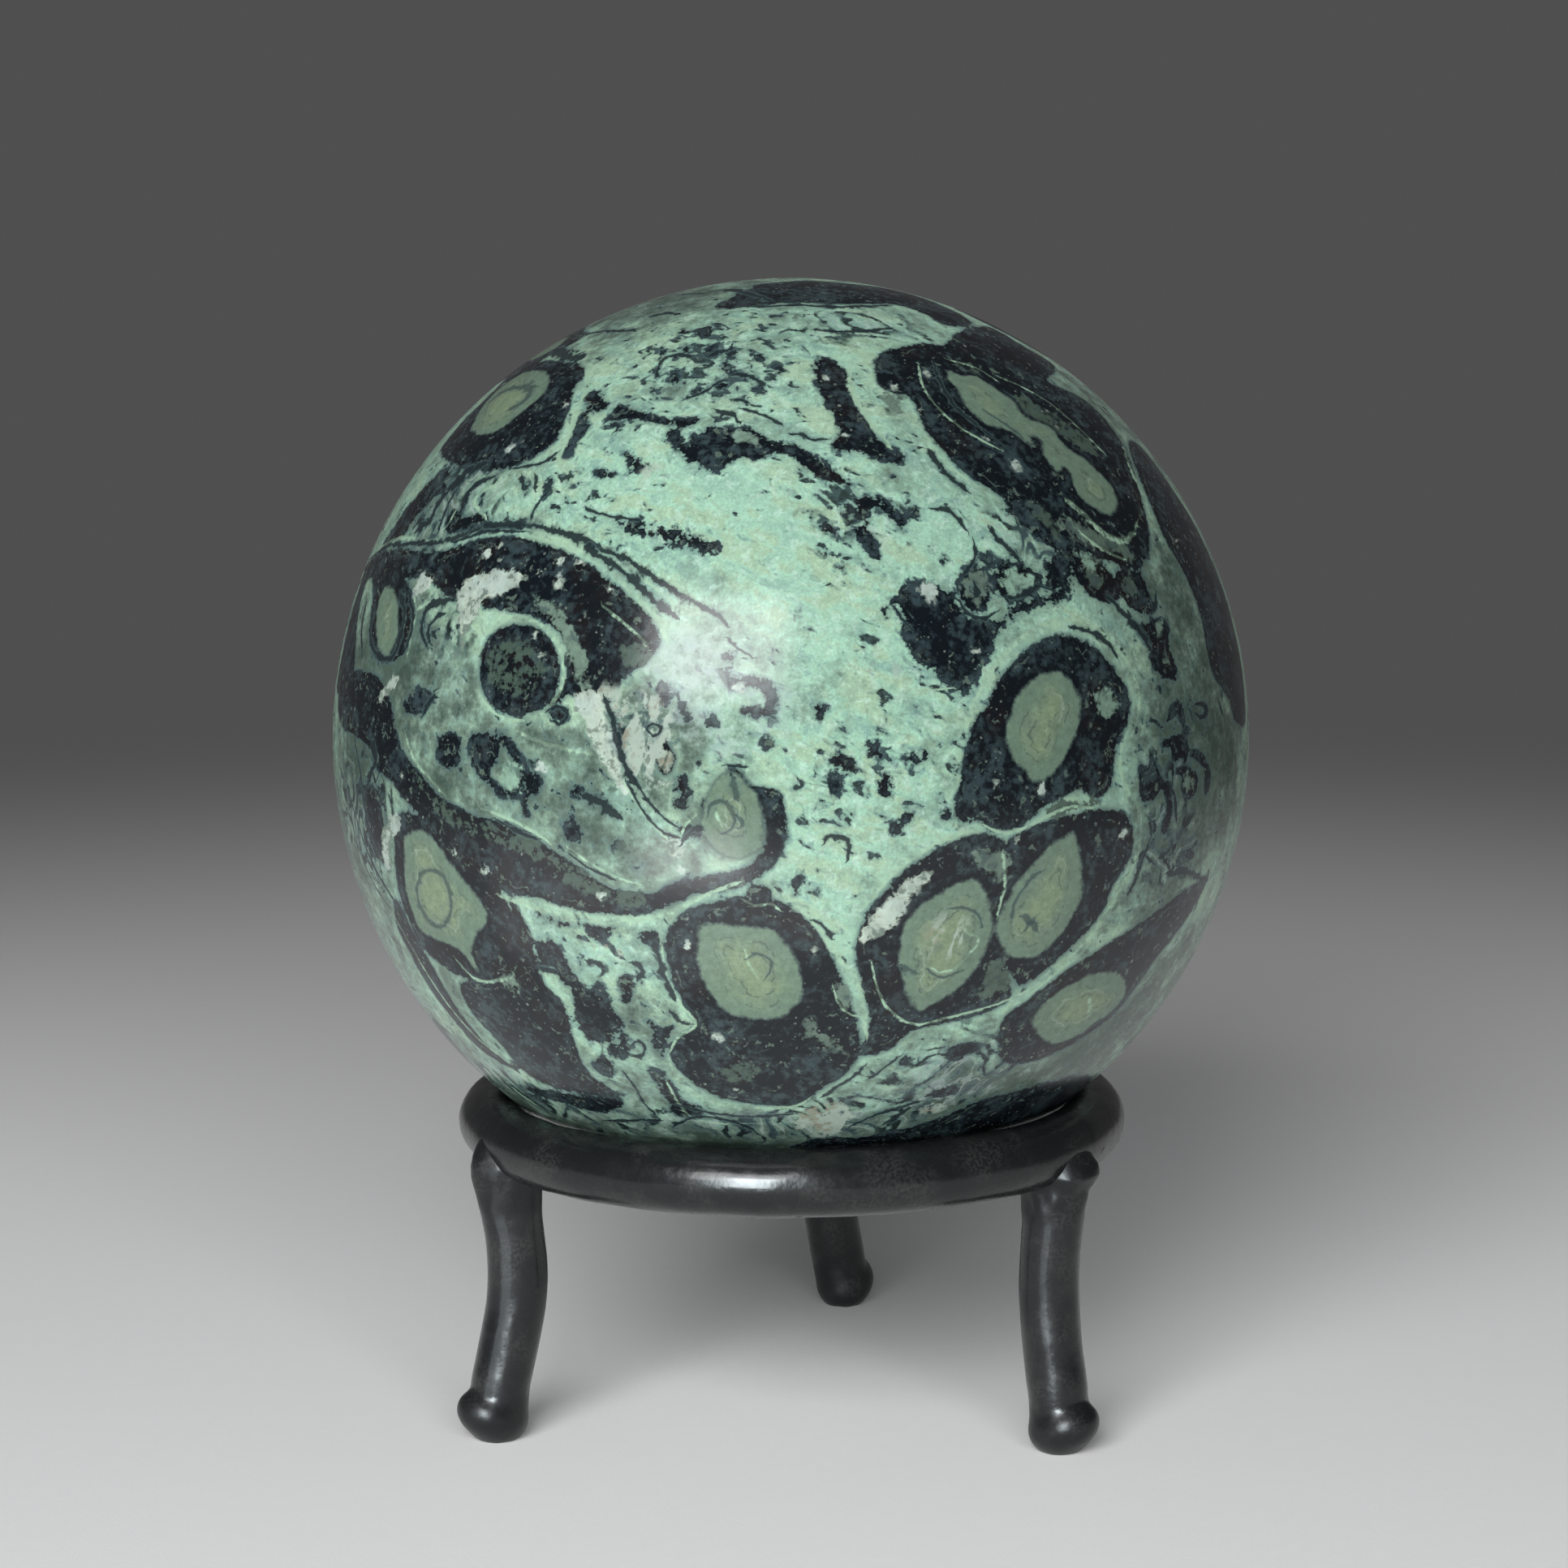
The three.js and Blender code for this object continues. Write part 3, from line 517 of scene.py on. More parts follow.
# Softly edged zones: middle, half width and half height in pixels, turn in degrees, and strength.
BRIGHT_ZONES = [
    (900, 615, 190, 70, 12, 0.9), (1010, 720, 90, 90, 0, 0.35), (850, 440, 150, 45, -5, 0.5),
    (1200, 650, 60, 50, 20, 0.3), (1060, 780, 110, 80, 20, 0.5), (1150, 670, 52, 44, 0, 0.7),
    (1040, 430, 40, 50, 0, 0.5), (720, 560, 40, 40, 0, 0.4), (1000, 1000, 70, 80, 0, 0.5), (1300, 755, 90, 22, 0, 0.3),
    (660, 610, 50, 24, 0, 0.4), (1080, 990, 90, 70, 0, 0.4),
]
# Duller green, and painted shade: the strong zones along the ball's left, right and top rims, and those at its bottom
# above the ring, darken the green where the light falls off.
DULL_AND_SHADED_ZONES = [
    (690, 985, 60, 50, 35, 0.4), (680, 1000, 30, 40, 0, 0.4), (645, 824, 60, 66, 0, 0.9), (470, 780, 40, 90, 0, 1.3),
    (1430, 720, 50, 130, -15, 0.9), (1490, 900, 50, 130, 0, 1.4), (1450, 1030, 60, 70, 0, 1.0),
    (1330, 1300, 90, 34, -25, 1.2), (440, 980, 30, 130, 0, 1.3), (1250, 1400, 200, 40, 0, 1.2),
    (850, 1410, 300, 30, 0, 1.0), (700, 400, 120, 30, -35, 0.8), (850, 365, 130, 16, -10, 0.9),
    (900, 1000, 50, 60, 0, 0.75), (540, 610, 70, 50, -45, 0.6), (1340, 500, 60, 40, 35, 1.0),
    (740, 430, 60, 50, 0, 0.35), (480, 1180, 40, 110, -35, 0.35), (1380, 800, 60, 70, 0, 0.3),
    (1395, 1130, 60, 40, -30, 0.6), (800, 1235, 50, 60, 0, 0.6), (1300, 1300, 90, 30, -30, 0.3),
    (1200, 1330, 90, 40, -15, 0.25), (460, 950, 40, 50, 0, 0.7),
]
FLECKED_ZONES = [
    (870, 445, 110, 56, -5, 1.3), (1040, 650, 60, 60, 0, 0.95), (1090, 950, 120, 80, 20, 0.75),
    (800, 655, 70, 24, 10, 0.45), (790, 915, 50, 70, 10, 0.85), (690, 590, 50, 40, 0, 0.5),
    (1010, 600, 50, 24, 20, 0.35), (900, 870, 60, 60, 0, 0.35), (1180, 750, 50, 50, 0, 0.3),
    (900, 730, 90, 60, 0, -0.5), (760, 530, 60, 24, 20, 0.4), (720, 620, 50, 20, 10, 0.4), (1425, 900, 40, 60, 0, 0.5),
    (545, 620, 60, 40, -45, 0.6), (770, 1170, 60, 50, 0, 0.5), (1240, 680, 60, 30, 30, 0.5),
    (1430, 780, 40, 60, 0, 0.4), (1440, 960, 50, 70, 0, 0.3), (1150, 672, 42, 36, 0, -0.9),
    (700, 900, 110, 60, 0, 0.3), (1160, 1330, 90, 40, -15, 0.45), (1000, 1380, 100, 20, 0, 0.5),
    (560, 800, 60, 60, 0, 0.3), (1090, 760, 30, 50, 0, 0.5), (990, 1110, 50, 50, 0, 0.4), (780, 1260, 40, 60, 0, 0.4),
]
SWIRLED_ZONES = [
    (560, 622, 50, 48, -40, 1.0), (740, 1200, 60, 75, 20, 0.35), (1000, 1385, 150, 22, -5, 0.9),
    (1190, 1320, 110, 40, -20, 0.9), (1445, 940, 50, 90, 0, 0.45), (1420, 780, 40, 60, -20, 0.4),
    (1270, 660, 60, 40, 35, 0.8), (1060, 398, 110, 26, 0, 0.6), (450, 1000, 40, 80, 0, 0.55),
    (700, 1360, 90, 26, 10, 0.5), (790, 900, 60, 90, 20, 0.5), (1070, 650, 60, 50, 0, 0.6), (880, 450, 90, 50, 0, 0.2),
    (1440, 1050, 50, 40, 0, 0.7), (560, 780, 40, 60, 0, 0.5), (760, 1330, 40, 40, 0, 0.3), (1110, 500, 30, 60, 0, 0.5),
    (480, 1180, 30, 90, -30, 0.25),
]
# Milky chalcedony, and painted reflection: the zones round the middle of the ball's front lay a bluish white sheen
# where the key light's glow falls on the polish.
MILKY_AND_SHEEN_ZONES = [
    (862, 815, 55, 60, 10, 0.75), (850, 890, 45, 40, 0, 0.4), (960, 870, 50, 45, 0, 0.4), (1000, 760, 60, 40, 0, 0.3),
    (570, 860, 50, 50, 0, 0.3), (900, 920, 50, 30, 0, 0.45), (790, 820, 30, 26, 0, 0.4), (900, 720, 20, 28, 0, 0.35),
    (540, 800, 40, 30, 0, 0.25), (1110, 1000, 20, 20, 0, 0.2),
]
TAN_ZONES = [
    (790, 915, 42, 58, 12, 0.75), (738, 868, 24, 26, 0, 0.5), (1020, 1382, 36, 20, 0, 0.8),
    (758, 1172, 26, 12, 0, 0.6), (1168, 1155, 34, 34, 0, 0.4), (1285, 900, 22, 36, 0, 0.2),
    (1150, 1365, 20, 10, 0, 0.4), (1030, 1046, 18, 16, 0, 0.5), (800, 580, 30, 16, 0, 0.3), (1080, 830, 60, 24, 0, 0.3),
]

# Eyes on the sides and back, where no photograph shows them: longitude from the front towards the right and latitude
# in degrees, length and width in mm, turn in degrees, how much of the eye its core takes, and the seed of its wobble.
HIDDEN_EYES = [
    (108, 22, 15, 9, 60, 0.5, 1), (131, 44, 11, 7.5, 10, 0.45, 2), (127, 2, 12, 10, 25, 0.55, 3),
    (146, -21, 16, 10, -30, 0.5, 4), (112, -28, 10, 7, 80, 0.5, 5), (158, 18, 17, 11, -50, 0.55, 6),
    (169, 36, 10, 8, 0, 0.4, 7), (186, -6, 13, 10, 30, 0.5, 8), (203, 20, 15, 8, 70, 0.5, 9),
    (198, -32, 14, 9, 10, 0.55, 10), (222, 47, 12, 9, -20, 0.45, 11), (228, -8, 18, 11, -70, 0.5, 12),
    (243, 21, 11, 8, 40, 0.5, 13), (251, -32, 14, 9, 55, 0.5, 14), (180, 66, 12, 8, 30, 0.5, 15),
    (264, 3, 9, 6, 85, 0.45, 16), (165, -52, 13, 8, 5, 0.5, 17), (226, -60, 11, 7, -40, 0.5, 18),
    (95, -58, 11, 7, 20, 0.5, 19), (300, -66, 10, 7, 60, 0.45, 20), (40, -74, 9, 6, 0, 0.5, 21),
    (274, 58, 9, 6, 20, 0.45, 22), (92, 60, 9, 6, -60, 0.45, 23),
]
# Dark bands without a core, in the same terms.
HIDDEN_BANDS = [
    (99, 12, 13, 4, 60, 31), (100, 38, 13, 4, 60, 32), (96, -8, 9, 3, -70, 49), (150, 62, 18, 5, -20, 33),
    (140, -42, 14, 3.5, 30, 34), (176, -26, 12, 3, -50, 35), (210, 4, 10, 2.6, 80, 36), (238, 4, 12, 3, 20, 37),
    (213, 66, 14, 3.6, 15, 38), (255, 36, 14, 4, -60, 39), (266, -16, 16, 4, 80, 40), (120, -72, 16, 4, 10, 41),
    (250, -78, 14, 4, 60, 42), (10, 78, 13, 5, 10, 43), (190, 48, 7, 2, 60, 44), (172, 3, 8, 1.8, -30, 45),
    (20, -84, 10, 3, 50, 46), (284, -44, 12, 3, 55, 47), (88, -40, 12, 3, -60, 48), (273, 13, 11, 3.4, 88, 50),
]
# How many more places there are tried for a blob or a small eye, the seed of their choice, and their lengths in mm.
HIDDEN_TRIES, HIDDEN_SEED = 420, 77
BLOB_LENGTHS, SMALL_EYE_LENGTHS = (1.2, 3.0), (4.0, 9.0)
# Zones on the sides and back: longitude, latitude, half width and half height in mm, turn and strength.
HIDDEN_FLECKS = [
    (178, 24, 7, 5, 0, 0.9), (140, 20, 5, 6, 0, 0.7), (215, -20, 6, 5, 30, 0.9), (168, -34, 6, 4, 0, 0.8),
    (118, -10, 5, 4, 0, 0.7), (240, 62, 6, 5, 0, 0.8), (252, -5, 4, 5, 0, 0.7), (150, 82, 6, 5, 0, 0.6),
    (190, -78, 8, 6, 0, 0.7), (60, -62, 7, 5, 0, 0.6),
]
HIDDEN_BRIGHT = [
    (178, 24, 12, 9, 20, 0.8), (215, -20, 10, 8, 30, 0.7), (120, 62, 9, 7, 0, 0.6), (148, 2, 8, 6, 40, 0.7),
    (240, 40, 9, 6, 0, 0.5), (200, -60, 10, 7, 0, 0.5), (270, 35, 8, 8, 0, 0.5),
]
HIDDEN_DULL = [
    (128, -14, 9, 8, 0, 0.8), (232, 6, 12, 9, 0, 0.9), (165, 50, 9, 7, 0, 0.7), (186, -14, 10, 8, 0, 0.6),
    (262, -24, 9, 9, 0, 0.8), (108, 40, 8, 7, 0, 0.6),
]
HIDDEN_SWIRLS = [
    (140, 20, 7, 6, 0, 0.9), (178, 4, 7, 9, 0, 0.8), (212, -18, 8, 6, 0, 0.8), (240, 44, 8, 8, 0, 0.8),
    (120, -18, 6, 7, 0, 0.9), (180, -66, 12, 6, 0, 0.8), (262, -52, 9, 7, 0, 0.8), (60, -70, 9, 7, 0, 0.8),
    (130, 70, 9, 6, 0, 0.7), (270, 20, 5, 9, 0, 0.8),
]
HIDDEN_MILKY = [(206, 34, 5, 4, 0, 0.6), (142, -6, 5, 3, 0, 0.5), (236, -22, 4, 4, 0, 0.5)]
HIDDEN_TAN = [(200, 8, 5, 4, 0, 0.7), (121, 24, 4, 4, 0, 0.5), (158, -34, 5, 3, 0, 0.5)]

# Corners of a fleck's outline, and the seed of the first fleck's wobble.
FLECK_CORNERS, FLECK_SEED = 14, 900
# How torn the edges are of flecks, and of the hidden side's eyes, bands and small marks, from 0 to 1.
FLECK_TEAR, EYE_TEAR, BAND_TEAR, SMALL_TEAR = 0.45, 0.15, 0.4, 0.3
# How wide the joins are between dark bodies, between islands and between other marks, in mm.
DARK_BLEND, ISLAND_BLEND, MARK_BLEND = 0.3, 0.1, 0.15
# Depths are worked out as far as this from an outline, in mm.
DEPTH_REACH = 2.5
# Lines are shared out over this many fields, so that neighbours don't meet in one: they keep this far apart, in mm.
LINE_LAYERS, LINE_GAP = 3, 1.3
# Distances from a line are cut off at LINE_FAR half thicknesses. A line is near within LINE_NEAR mm of its run and
# LINE_END_NEAR mm of its ends, and the nearness fades over LINE_FADE mm.
LINE_REACH, LINE_FAR, LINE_NEAR, LINE_END_NEAR, LINE_FADE = 1.2, 6.0, 0.7, 0.3, 0.25

# The legs, with the middle line's reach from the axis and height in mm, as the CAD model has them.
LEG_ROD_RADIUS = 1.95
LEG_STRAIGHT_REACH = 20.6
LEG_LINE = [(20.85, 18.6), (20.35, 15.2), (20.0, 11.8), (20.12, 9.1), (20.55, 6.8), (21.0, 4.85), (21.3, 3.6),
    (21.55, 1.5)]
LEGS = {
    "leg_front_left": {"top": 206, "foot": 206, "bend": 1, "toe": 2.2, "lump": 0.0, "seed": 3},
    "leg_front_right": {"top": 324.4, "foot": 323.2, "bend": 0.65, "toe": 2.2, "lump": 0.4, "seed": 8},
    "leg_back": {"top": 85.8, "foot": 78.9, "bend": 1, "toe": 2.0, "lump": 0.1, "seed": 5},
}
# The turned out foot's middle past the end of the rod's line and above the floor, half its length and half its depth
# in mm, and its lift.
TOE_PAST_ROD, TOE_HEIGHT, TOE_LENGTH, TOE_DEPTH, TOE_LIFT = 0.42, 1.66, 2.35, 1.68, np.radians(21)
# The weld's reach from the axis, its thickness along the ring as a share of that across it, the height of its middle
# and half its height, and its half width at each height as (half width, height).
WELD_REACH, WELD_ALONG, WELD_MIDDLE, WELD_HALF = 20.5, 0.85, 16.1, 3.5
WELD_PROFILE = [(0.7, 12.6), (1.35, 14.0), (1.72, 15.2), (1.95, 16.0), (2.2, 16.7), (2.42, 17.4), (2.54, 18.1),
    (2.36, 18.7), (1.9, 19.2), (1.3, 19.6)]
# Above this height a weld widens by its leg's lump over the next mm.
LUMP_FROM = 17.0
# How wide the joins are between rod and foot and between rod and weld, in mm.
TOE_BLEND, WELD_BLEND = 0.35, 0.7
# Lumps on the weld's enamel begin and are full at these heights and are this high, and all unevenness fades out over
# this height at the floor, in mm.
WELD_LUMPS_LOW, WELD_LUMPS_HIGH, WELD_LUMPS, GROUND_FADE = 14.5, 17.0, 0.12, 0.6
# Heights in mm where the legs' enamel turns dull: down to the foot, and up to the weld.
DULL_FOOT, DULL_WELD = (3.4, 2.7), (14.6, 15.8)

# The ring in mm, with its steps round itself and round its rod.
RING_RADIUS, RING_ROD_RADIUS, RING_HEIGHT, RING_LEAN = 20.0, 2.15, 19.4, np.radians(0.95)
RING_FORWARD = (RING_LOW[1] + RING_HIGH[1]) / 2
RING_STEPS, ROD_STEPS = 300, 56

# The stage: the faint cyan of the lights that only the stand gets, the room overhead and between which heights it
# takes over, and how far out in mm the floor begins to melt into the room and is gone.
CARD_TINT = (0.86, 0.96, 1.0)
ROOM_OVERHEAD = (0.05, 0.05, 0.053)
ROOM_LOW, ROOM_HIGH = 0.12, 0.5
FLOOR_CLEAR, FLOOR_GONE = 75.0, 340.0

# What stretches a noise texture's values to a spread of about 1.
NOISE_STRETCH = 14.0


def colour(name, text, default):
    return FloatVectorProperty(name=name, description=text, default=default, size=3, subtype="COLOR", min=0, max=1)


def power(name, text, default):
    return FloatProperty(name=name, description=f"Power of {text}, in watts", default=default, unit="POWER", min=0)


class JasperBallSettings(bpy.types.PropertyGroup):
    """What a user would change on the ball."""

    grid: IntProperty(name="Grid", description="Squares along each side of the six grids", default=128, min=16, max=128)
    crowd: FloatProperty(name="Crowding", description="How much finer the grid is at the front", default=1.4, min=1)
    mint: colour("Mint", "The brightest green of the stone", (0.45, 0.76, 0.575))
    sage: colour("Sage", "The greyer green inside the clusters", (0.17, 0.25, 0.20))
    # Moss also serves as painted shade, where the green darkens towards the ball's rims and bottom.
    moss: colour("Moss", "The darkest green, towards the edges", (0.075, 0.12, 0.095))
    teal: colour("Teal", "The bluish mottling in the mint", (0.20, 0.36, 0.34))
    lichen: colour("Lichen", "The yellowish mottling in the mint", (0.47, 0.62, 0.40))
    frost: colour("Frost", "The pale bloom in the mint", (0.60, 0.87, 0.715))
    core: colour("Core", "An eye's core near its edge", (0.19, 0.29, 0.21))
    heart: colour("Heart", "The middle of an eye's core", (0.27, 0.37, 0.23))
    umber: colour("Umber", "The brownish tinge in the dark bodies", (0.022, 0.014, 0.013))
    night: colour("Night", "The dark bodies", (0.006, 0.010, 0.014))
    slate: colour("Slate", "The lighter grey in the dark bodies", (0.05, 0.084, 0.094))
    cream: colour("Cream", "Quartz", (0.52, 0.645, 0.55))
    milk: colour("Milk", "Milky chalcedony", (0.50, 0.63, 0.60))
    tan: colour("Tan", "Rusty quartz", (0.33, 0.30, 0.21))
    gloss: FloatProperty(name="Roughness", description="Roughness of the polish", default=0.2, min=0, max=1)


class RingStandSettings(bpy.types.PropertyGroup):
    """What a user would change on the stand."""

    enamel: colour("Enamel", "Black enamel", (0.006, 0.0063, 0.0066))
    worn: colour("Thin enamel", "Enamel where it is thin", (0.016, 0.0155, 0.015))
    roughness: FloatProperty(name="Roughness", description="Roughness of the enamel", default=0.29, min=0, max=1)
    sag: FloatProperty(name="Unevenness", description="How uneven the enamel lies, in mm", default=0.03, min=0)


class StudioSettings(bpy.types.PropertyGroup):
    """What a user would change on the stage and its light."""

    floor: colour("Floor", "The pale floor", (0.86, 0.86, 0.865))
    room: colour("Room", "What the floor melts into away from the object", (0.08, 0.079, 0.08))
    key_power: power("Key", "the softbox by the camera", 2.35)
    top_power: power("Top", "the light overhead", 1.3)
    wash_power: power("Wash", "the light that falls on the floor alone", 3.6)
    glare_power: power("Glare", "the floor's glare on the ball", 0.026)
    sheen_power: power("Sheen", "the floor's sheen under the ball", 0.012)
    fill_power: power("Fill", "the light behind the object", 1.6)
    card_power: power("Card", "the light that falls on the stand alone", 4.2)
    low_power: power("Low cards", "the low light before each front leg", 0.006)


class Value:
    """A shader value or vector that takes part in Python expressions. Each operation adds its Math node."""

    def __init__(self, finish, socket):
        self.finish, self.socket = finish, socket

    def math(self, operation, *others):
        return self.finish.add("ShaderNodeMath", {"operation": operation}, dict(enumerate((self, *others))))

    def __add__(self, other):
        return self.math("ADD", other)

    def __sub__(self, other):
        return self.math("SUBTRACT", other)

    def __rsub__(self, other):
        return self.finish.add("ShaderNodeMath", {"operation": "SUBTRACT"}, {0: other, 1: self})

    def __mul__(self, other):
        return self.math("MULTIPLY", other)

    def __neg__(self):
        return self * -1.0

    def __abs__(self):
        return self.math("ABSOLUTE")

    __radd__, __rmul__ = __add__, __mul__

    def most(self, other):
        return self.math("MAXIMUM", other)

    def rise(self, low, high):
        """0 below low and 1 above high, with a smooth step between."""
        settings = {"interpolation_type": "SMOOTHSTEP"}
        return self.finish.add("ShaderNodeMapRange", settings, {0: self, 1: low, 2: high})

    def band(self, middle, half):
        """1 at middle, 0 from half away on both sides."""
        return abs(self - middle).rise(half, half * 0.35)


class Finish:
    """A material's nodes."""

    def __init__(self, name):
        self.material = bpy.data.materials.new(name)
        self.material.use_nodes = True
        self.tree = self.material.node_tree
        self.tree.nodes.clear()
        self.place = self.add("ShaderNodeTexCoord", output="Object")
        self.mm = self.vector("SCALE", self.place, Scale=1000.0)

    def add(self, kind, settings=None, inputs=None, output=0):
        """Adds any node: its type, its settings, then its sockets' values or links. Returns one of its outputs."""
        node = self.tree.nodes.new(kind)
        for key, setting in (settings or {}).items():
            setattr(node, key, setting)
        for key, given in (inputs or {}).items():
            if isinstance(given, Value):
                self.tree.links.new(given.socket, node.inputs[key])
            else:
                node.inputs[key].default_value = given
        return Value(self, node.outputs[output])

    def vector(self, operation, *sides, **named):
        return self.add("ShaderNodeVectorMath", {"operation": operation}, {**dict(enumerate(sides)), **named})

    def attribute(self, name):
        return self.add("ShaderNodeAttribute", {"attribute_name": name}, output="Fac")

    def noise(self, scale, detail=2.0, roughness=0.5, distortion=0.0, at=None):
        """Noise with scale waves to a mm, moved and stretched to a mean of 0 and a spread of about 1."""
        inputs = {"Vector": at or self.mm, "Scale": scale, "Detail": detail, "Roughness": roughness,
            "Distortion": distortion}
        return (self.add("ShaderNodeTexNoise", inputs=inputs) - 0.5) * NOISE_STRETCH

    def grain(self, stretch, turn, move=(0.0, 0.0, 0.0)):
        """Coordinates in mm whose grain runs long: stretched by stretch after a turn in radians."""
        inputs = {"Vector": self.mm, "Location": move, "Rotation": turn, "Scale": stretch}
        return self.add("ShaderNodeMapping", {"vector_type": "TEXTURE"}, inputs)

    def mix(self, below, above, factor):
        """Colour above laid over colour below."""
        below, above = (side if isinstance(side, Value) else (*side, 1.0) for side in (below, above))
        settings = {"data_type": "RGBA"}
        return self.add("ShaderNodeMix", settings, {0: factor, 6: below, 7: above}, output=2)

    def shade(self, tint, factor):
        """A colour made lighter or darker by a value."""
        grey = self.add("ShaderNodeCombineXYZ", inputs={0: factor, 1: factor, 2: factor})
        return self.vector("MULTIPLY", tint, grey)

    def surface(self, fixed, varying, bumps):
        """The Principled shader with its fixed and varying sockets, and bumps as (height, distance in m) pairs."""
        normal = None
        for height, distance in bumps:
            inputs = {"Height": height, "Distance": distance, "Strength": 1.0}
            if normal:
                inputs["Normal"] = normal
            normal = self.add("ShaderNodeBump", inputs=inputs)
        shader = self.add("ShaderNodeBsdfPrincipled", inputs={**fixed, **varying, "Normal": normal})
        self.add_output(shader)
        return self.material

    def add_output(self, shader):
        node = self.tree.nodes.new("ShaderNodeOutputMaterial")
        self.tree.links.new(shader.socket, node.inputs["Surface"])


def unit(vectors):
    """Vectors at unit length."""
    return vectors / np.linalg.norm(vectors, axis=-1, keepdims=True)


def camera_axes():
    """The camera's right, up and forward: forward is the bearing's direction tilted down, and right and up are then
    turned by the roll."""
    forward = np.array([np.sin(CAMERA_RIGHT) * np.cos(CAMERA_DOWN), np.cos(CAMERA_RIGHT) * np.cos(CAMERA_DOWN),
        -np.sin(CAMERA_DOWN)])
    level = np.array([np.cos(CAMERA_RIGHT), -np.sin(CAMERA_RIGHT), 0.0])
    upright = np.cross(level, forward)
    right = level * np.cos(CAMERA_ROLL) + upright * np.sin(CAMERA_ROLL)
    up = upright * np.cos(CAMERA_ROLL) - level * np.sin(CAMERA_ROLL)
    return right, up, forward


def on_ball(pixels):
    """Unit directions from the ball's middle to where the sight lines of pixels first meet the ball: the nearer root
    of the quadratic for a line and a sphere. A line that passes by the ball gives the point nearest to it."""
    right, up, forward = camera_axes()
    pixels = np.asarray(pixels, float)
    across, down = (pixels - FRAME_SIDE / 2).T[:, :, None] / FOCAL_PIXELS
    sight = unit(forward + across * right - down * up)
    start = CAMERA_PLACE - BALL_MIDDLE
    half = sight @ start
    root = np.sqrt(np.maximum(half**2 - (start @ start - BALL_RADIUS**2), 0))
    return unit(start + (-half - root)[:, None] * sight)


def bearing(longitude, latitude):
    """The direction at a longitude from the front towards the right, and a latitude, both in degrees."""
    longitude, latitude = np.radians(longitude), np.radians(latitude)
    return np.array([np.sin(longitude) * np.cos(latitude), -np.cos(longitude) * np.cos(latitude), np.sin(latitude)])


def patch_axes(middle):
    """Two directions square to middle: level to the right, and up. Up is tilted a little, so that it never is along
    middle."""
    right = unit(np.cross([0.0, 0.02, 1.0], middle))
    return right, np.cross(middle, right)


def flattened(directions, middle):
    """Directions laid flat round middle, in mm, each as far from it as the arc on the ball."""
    right, up = patch_axes(middle)
    angle = np.arccos(np.clip(directions @ middle, -1, 1))
    flat = np.stack([directions @ right, directions @ up], axis=-1)
    return flat * (BALL_RADIUS * angle / np.maximum(np.sin(angle), 1e-9))[..., None]


def lifted(flat, middle):
    """The opposite of flattened."""
    right, up = patch_axes(middle)
    length = np.linalg.norm(flat, axis=-1, keepdims=True)
    angle = length / BALL_RADIUS
    side = (flat[..., :1] * right + flat[..., 1:] * up) / np.maximum(length, 1e-9)
    return np.cos(angle) * middle + np.sin(angle) * side


def turned(flat, degrees):
    """Flat places turned by an angle: (x cos - y sin, x sin + y cos)."""
    turn = np.radians(degrees)
    return flat @ np.array([[np.cos(turn), np.sin(turn)], [-np.sin(turn), np.cos(turn)]])


def oval(angle, half_width, half_height):
    """Flat places on an ellipse: (half width cos, half height sin)."""
    return np.stack([half_width * np.cos(angle), half_height * np.sin(angle)], axis=-1)


def smooth_line(points, closed, steps=5):
    """A Catmull-Rom curve through points: each stretch is the cubic whose slope at a point is half of the step from
    the point before it to the point after it."""
    points = np.asarray(points, float)
    if closed:
        before, start, end, after = (np.roll(points, shift, axis=0) for shift in (1, 0, -1, -2))
    else:
        padded = np.vstack([2 * points[0] - points[1], points, 2 * points[-1] - points[-2]])
        before, start, end, after = padded[:-3], padded[1:-2], padded[2:-1], padded[3:]
    t = (np.arange(steps) / steps)[None, :, None]
    before, start, end, after = (side[:, None] for side in (before, start, end, after))
    curve = start + 0.5 * t * (end - before + t * (2 * before - 5 * start + 4 * end - after
        + t * (3 * (start - end) + after - before)))
    curve = curve.reshape(-1, points.shape[1])
    return curve if closed else np.vstack([curve, points[-1]])


def nearest_on(places, starts, ends):
    """For flat places and stretches: the squared distance to each stretch, how far along it the nearest point is
    (0 to 1), and which side the place is on (the cross product's sign)."""
    run = ends - starts
    away = places[:, None] - starts[None]
    along = np.clip((away * run).sum(-1) / np.maximum((run**2).sum(-1), 1e-12), 0, 1)
    gap = away - along[..., None] * run
    side = run[None, :, 0] * away[..., 1] - run[None, :, 1] * away[..., 0]
    return (gap**2).sum(-1), along, side


def close_to(directions, shape, reach):
    """Which directions lie within reach mm of a shape, and the middle of the shape."""
    middle = unit(shape.mean(0))
    widest = np.arccos(np.clip((shape @ middle).min(), -1, 1)) + reach / BALL_RADIUS
    return np.flatnonzero(directions @ middle > np.cos(min(widest, np.pi))), middle


def depth_inside(directions, loop):
    """How many mm each nearby direction is inside a closed loop, negative outside: the distance to the nearest
    stretch of the loop, with the sign from counting how often a level line from the place crosses the loop."""
    near, middle = close_to(directions, loop, DEPTH_REACH)
    places, corners = flattened(directions[near], middle), flattened(loop, middle)
    ends = np.roll(corners, -1, axis=0)
    squared, _, _ = nearest_on(places, corners, ends)
    above = corners[None, :, 1] > places[:, None, 1]
    above_end = ends[None, :, 1] > places[:, None, 1]
    rise = ends[:, 1] - corners[:, 1]
    crossing = corners[:, 0] + (places[:, None, 1] - corners[:, 1]) * (ends[:, 0] - corners[:, 0]) / np.where(
        rise == 0, 1e-9, rise)
    inside = ((above != above_end) & (crossing > places[:, None, 0])).sum(1) % 2 == 1
    depth = np.sqrt(squared.min(1))
    return near, np.where(inside, depth, -depth)


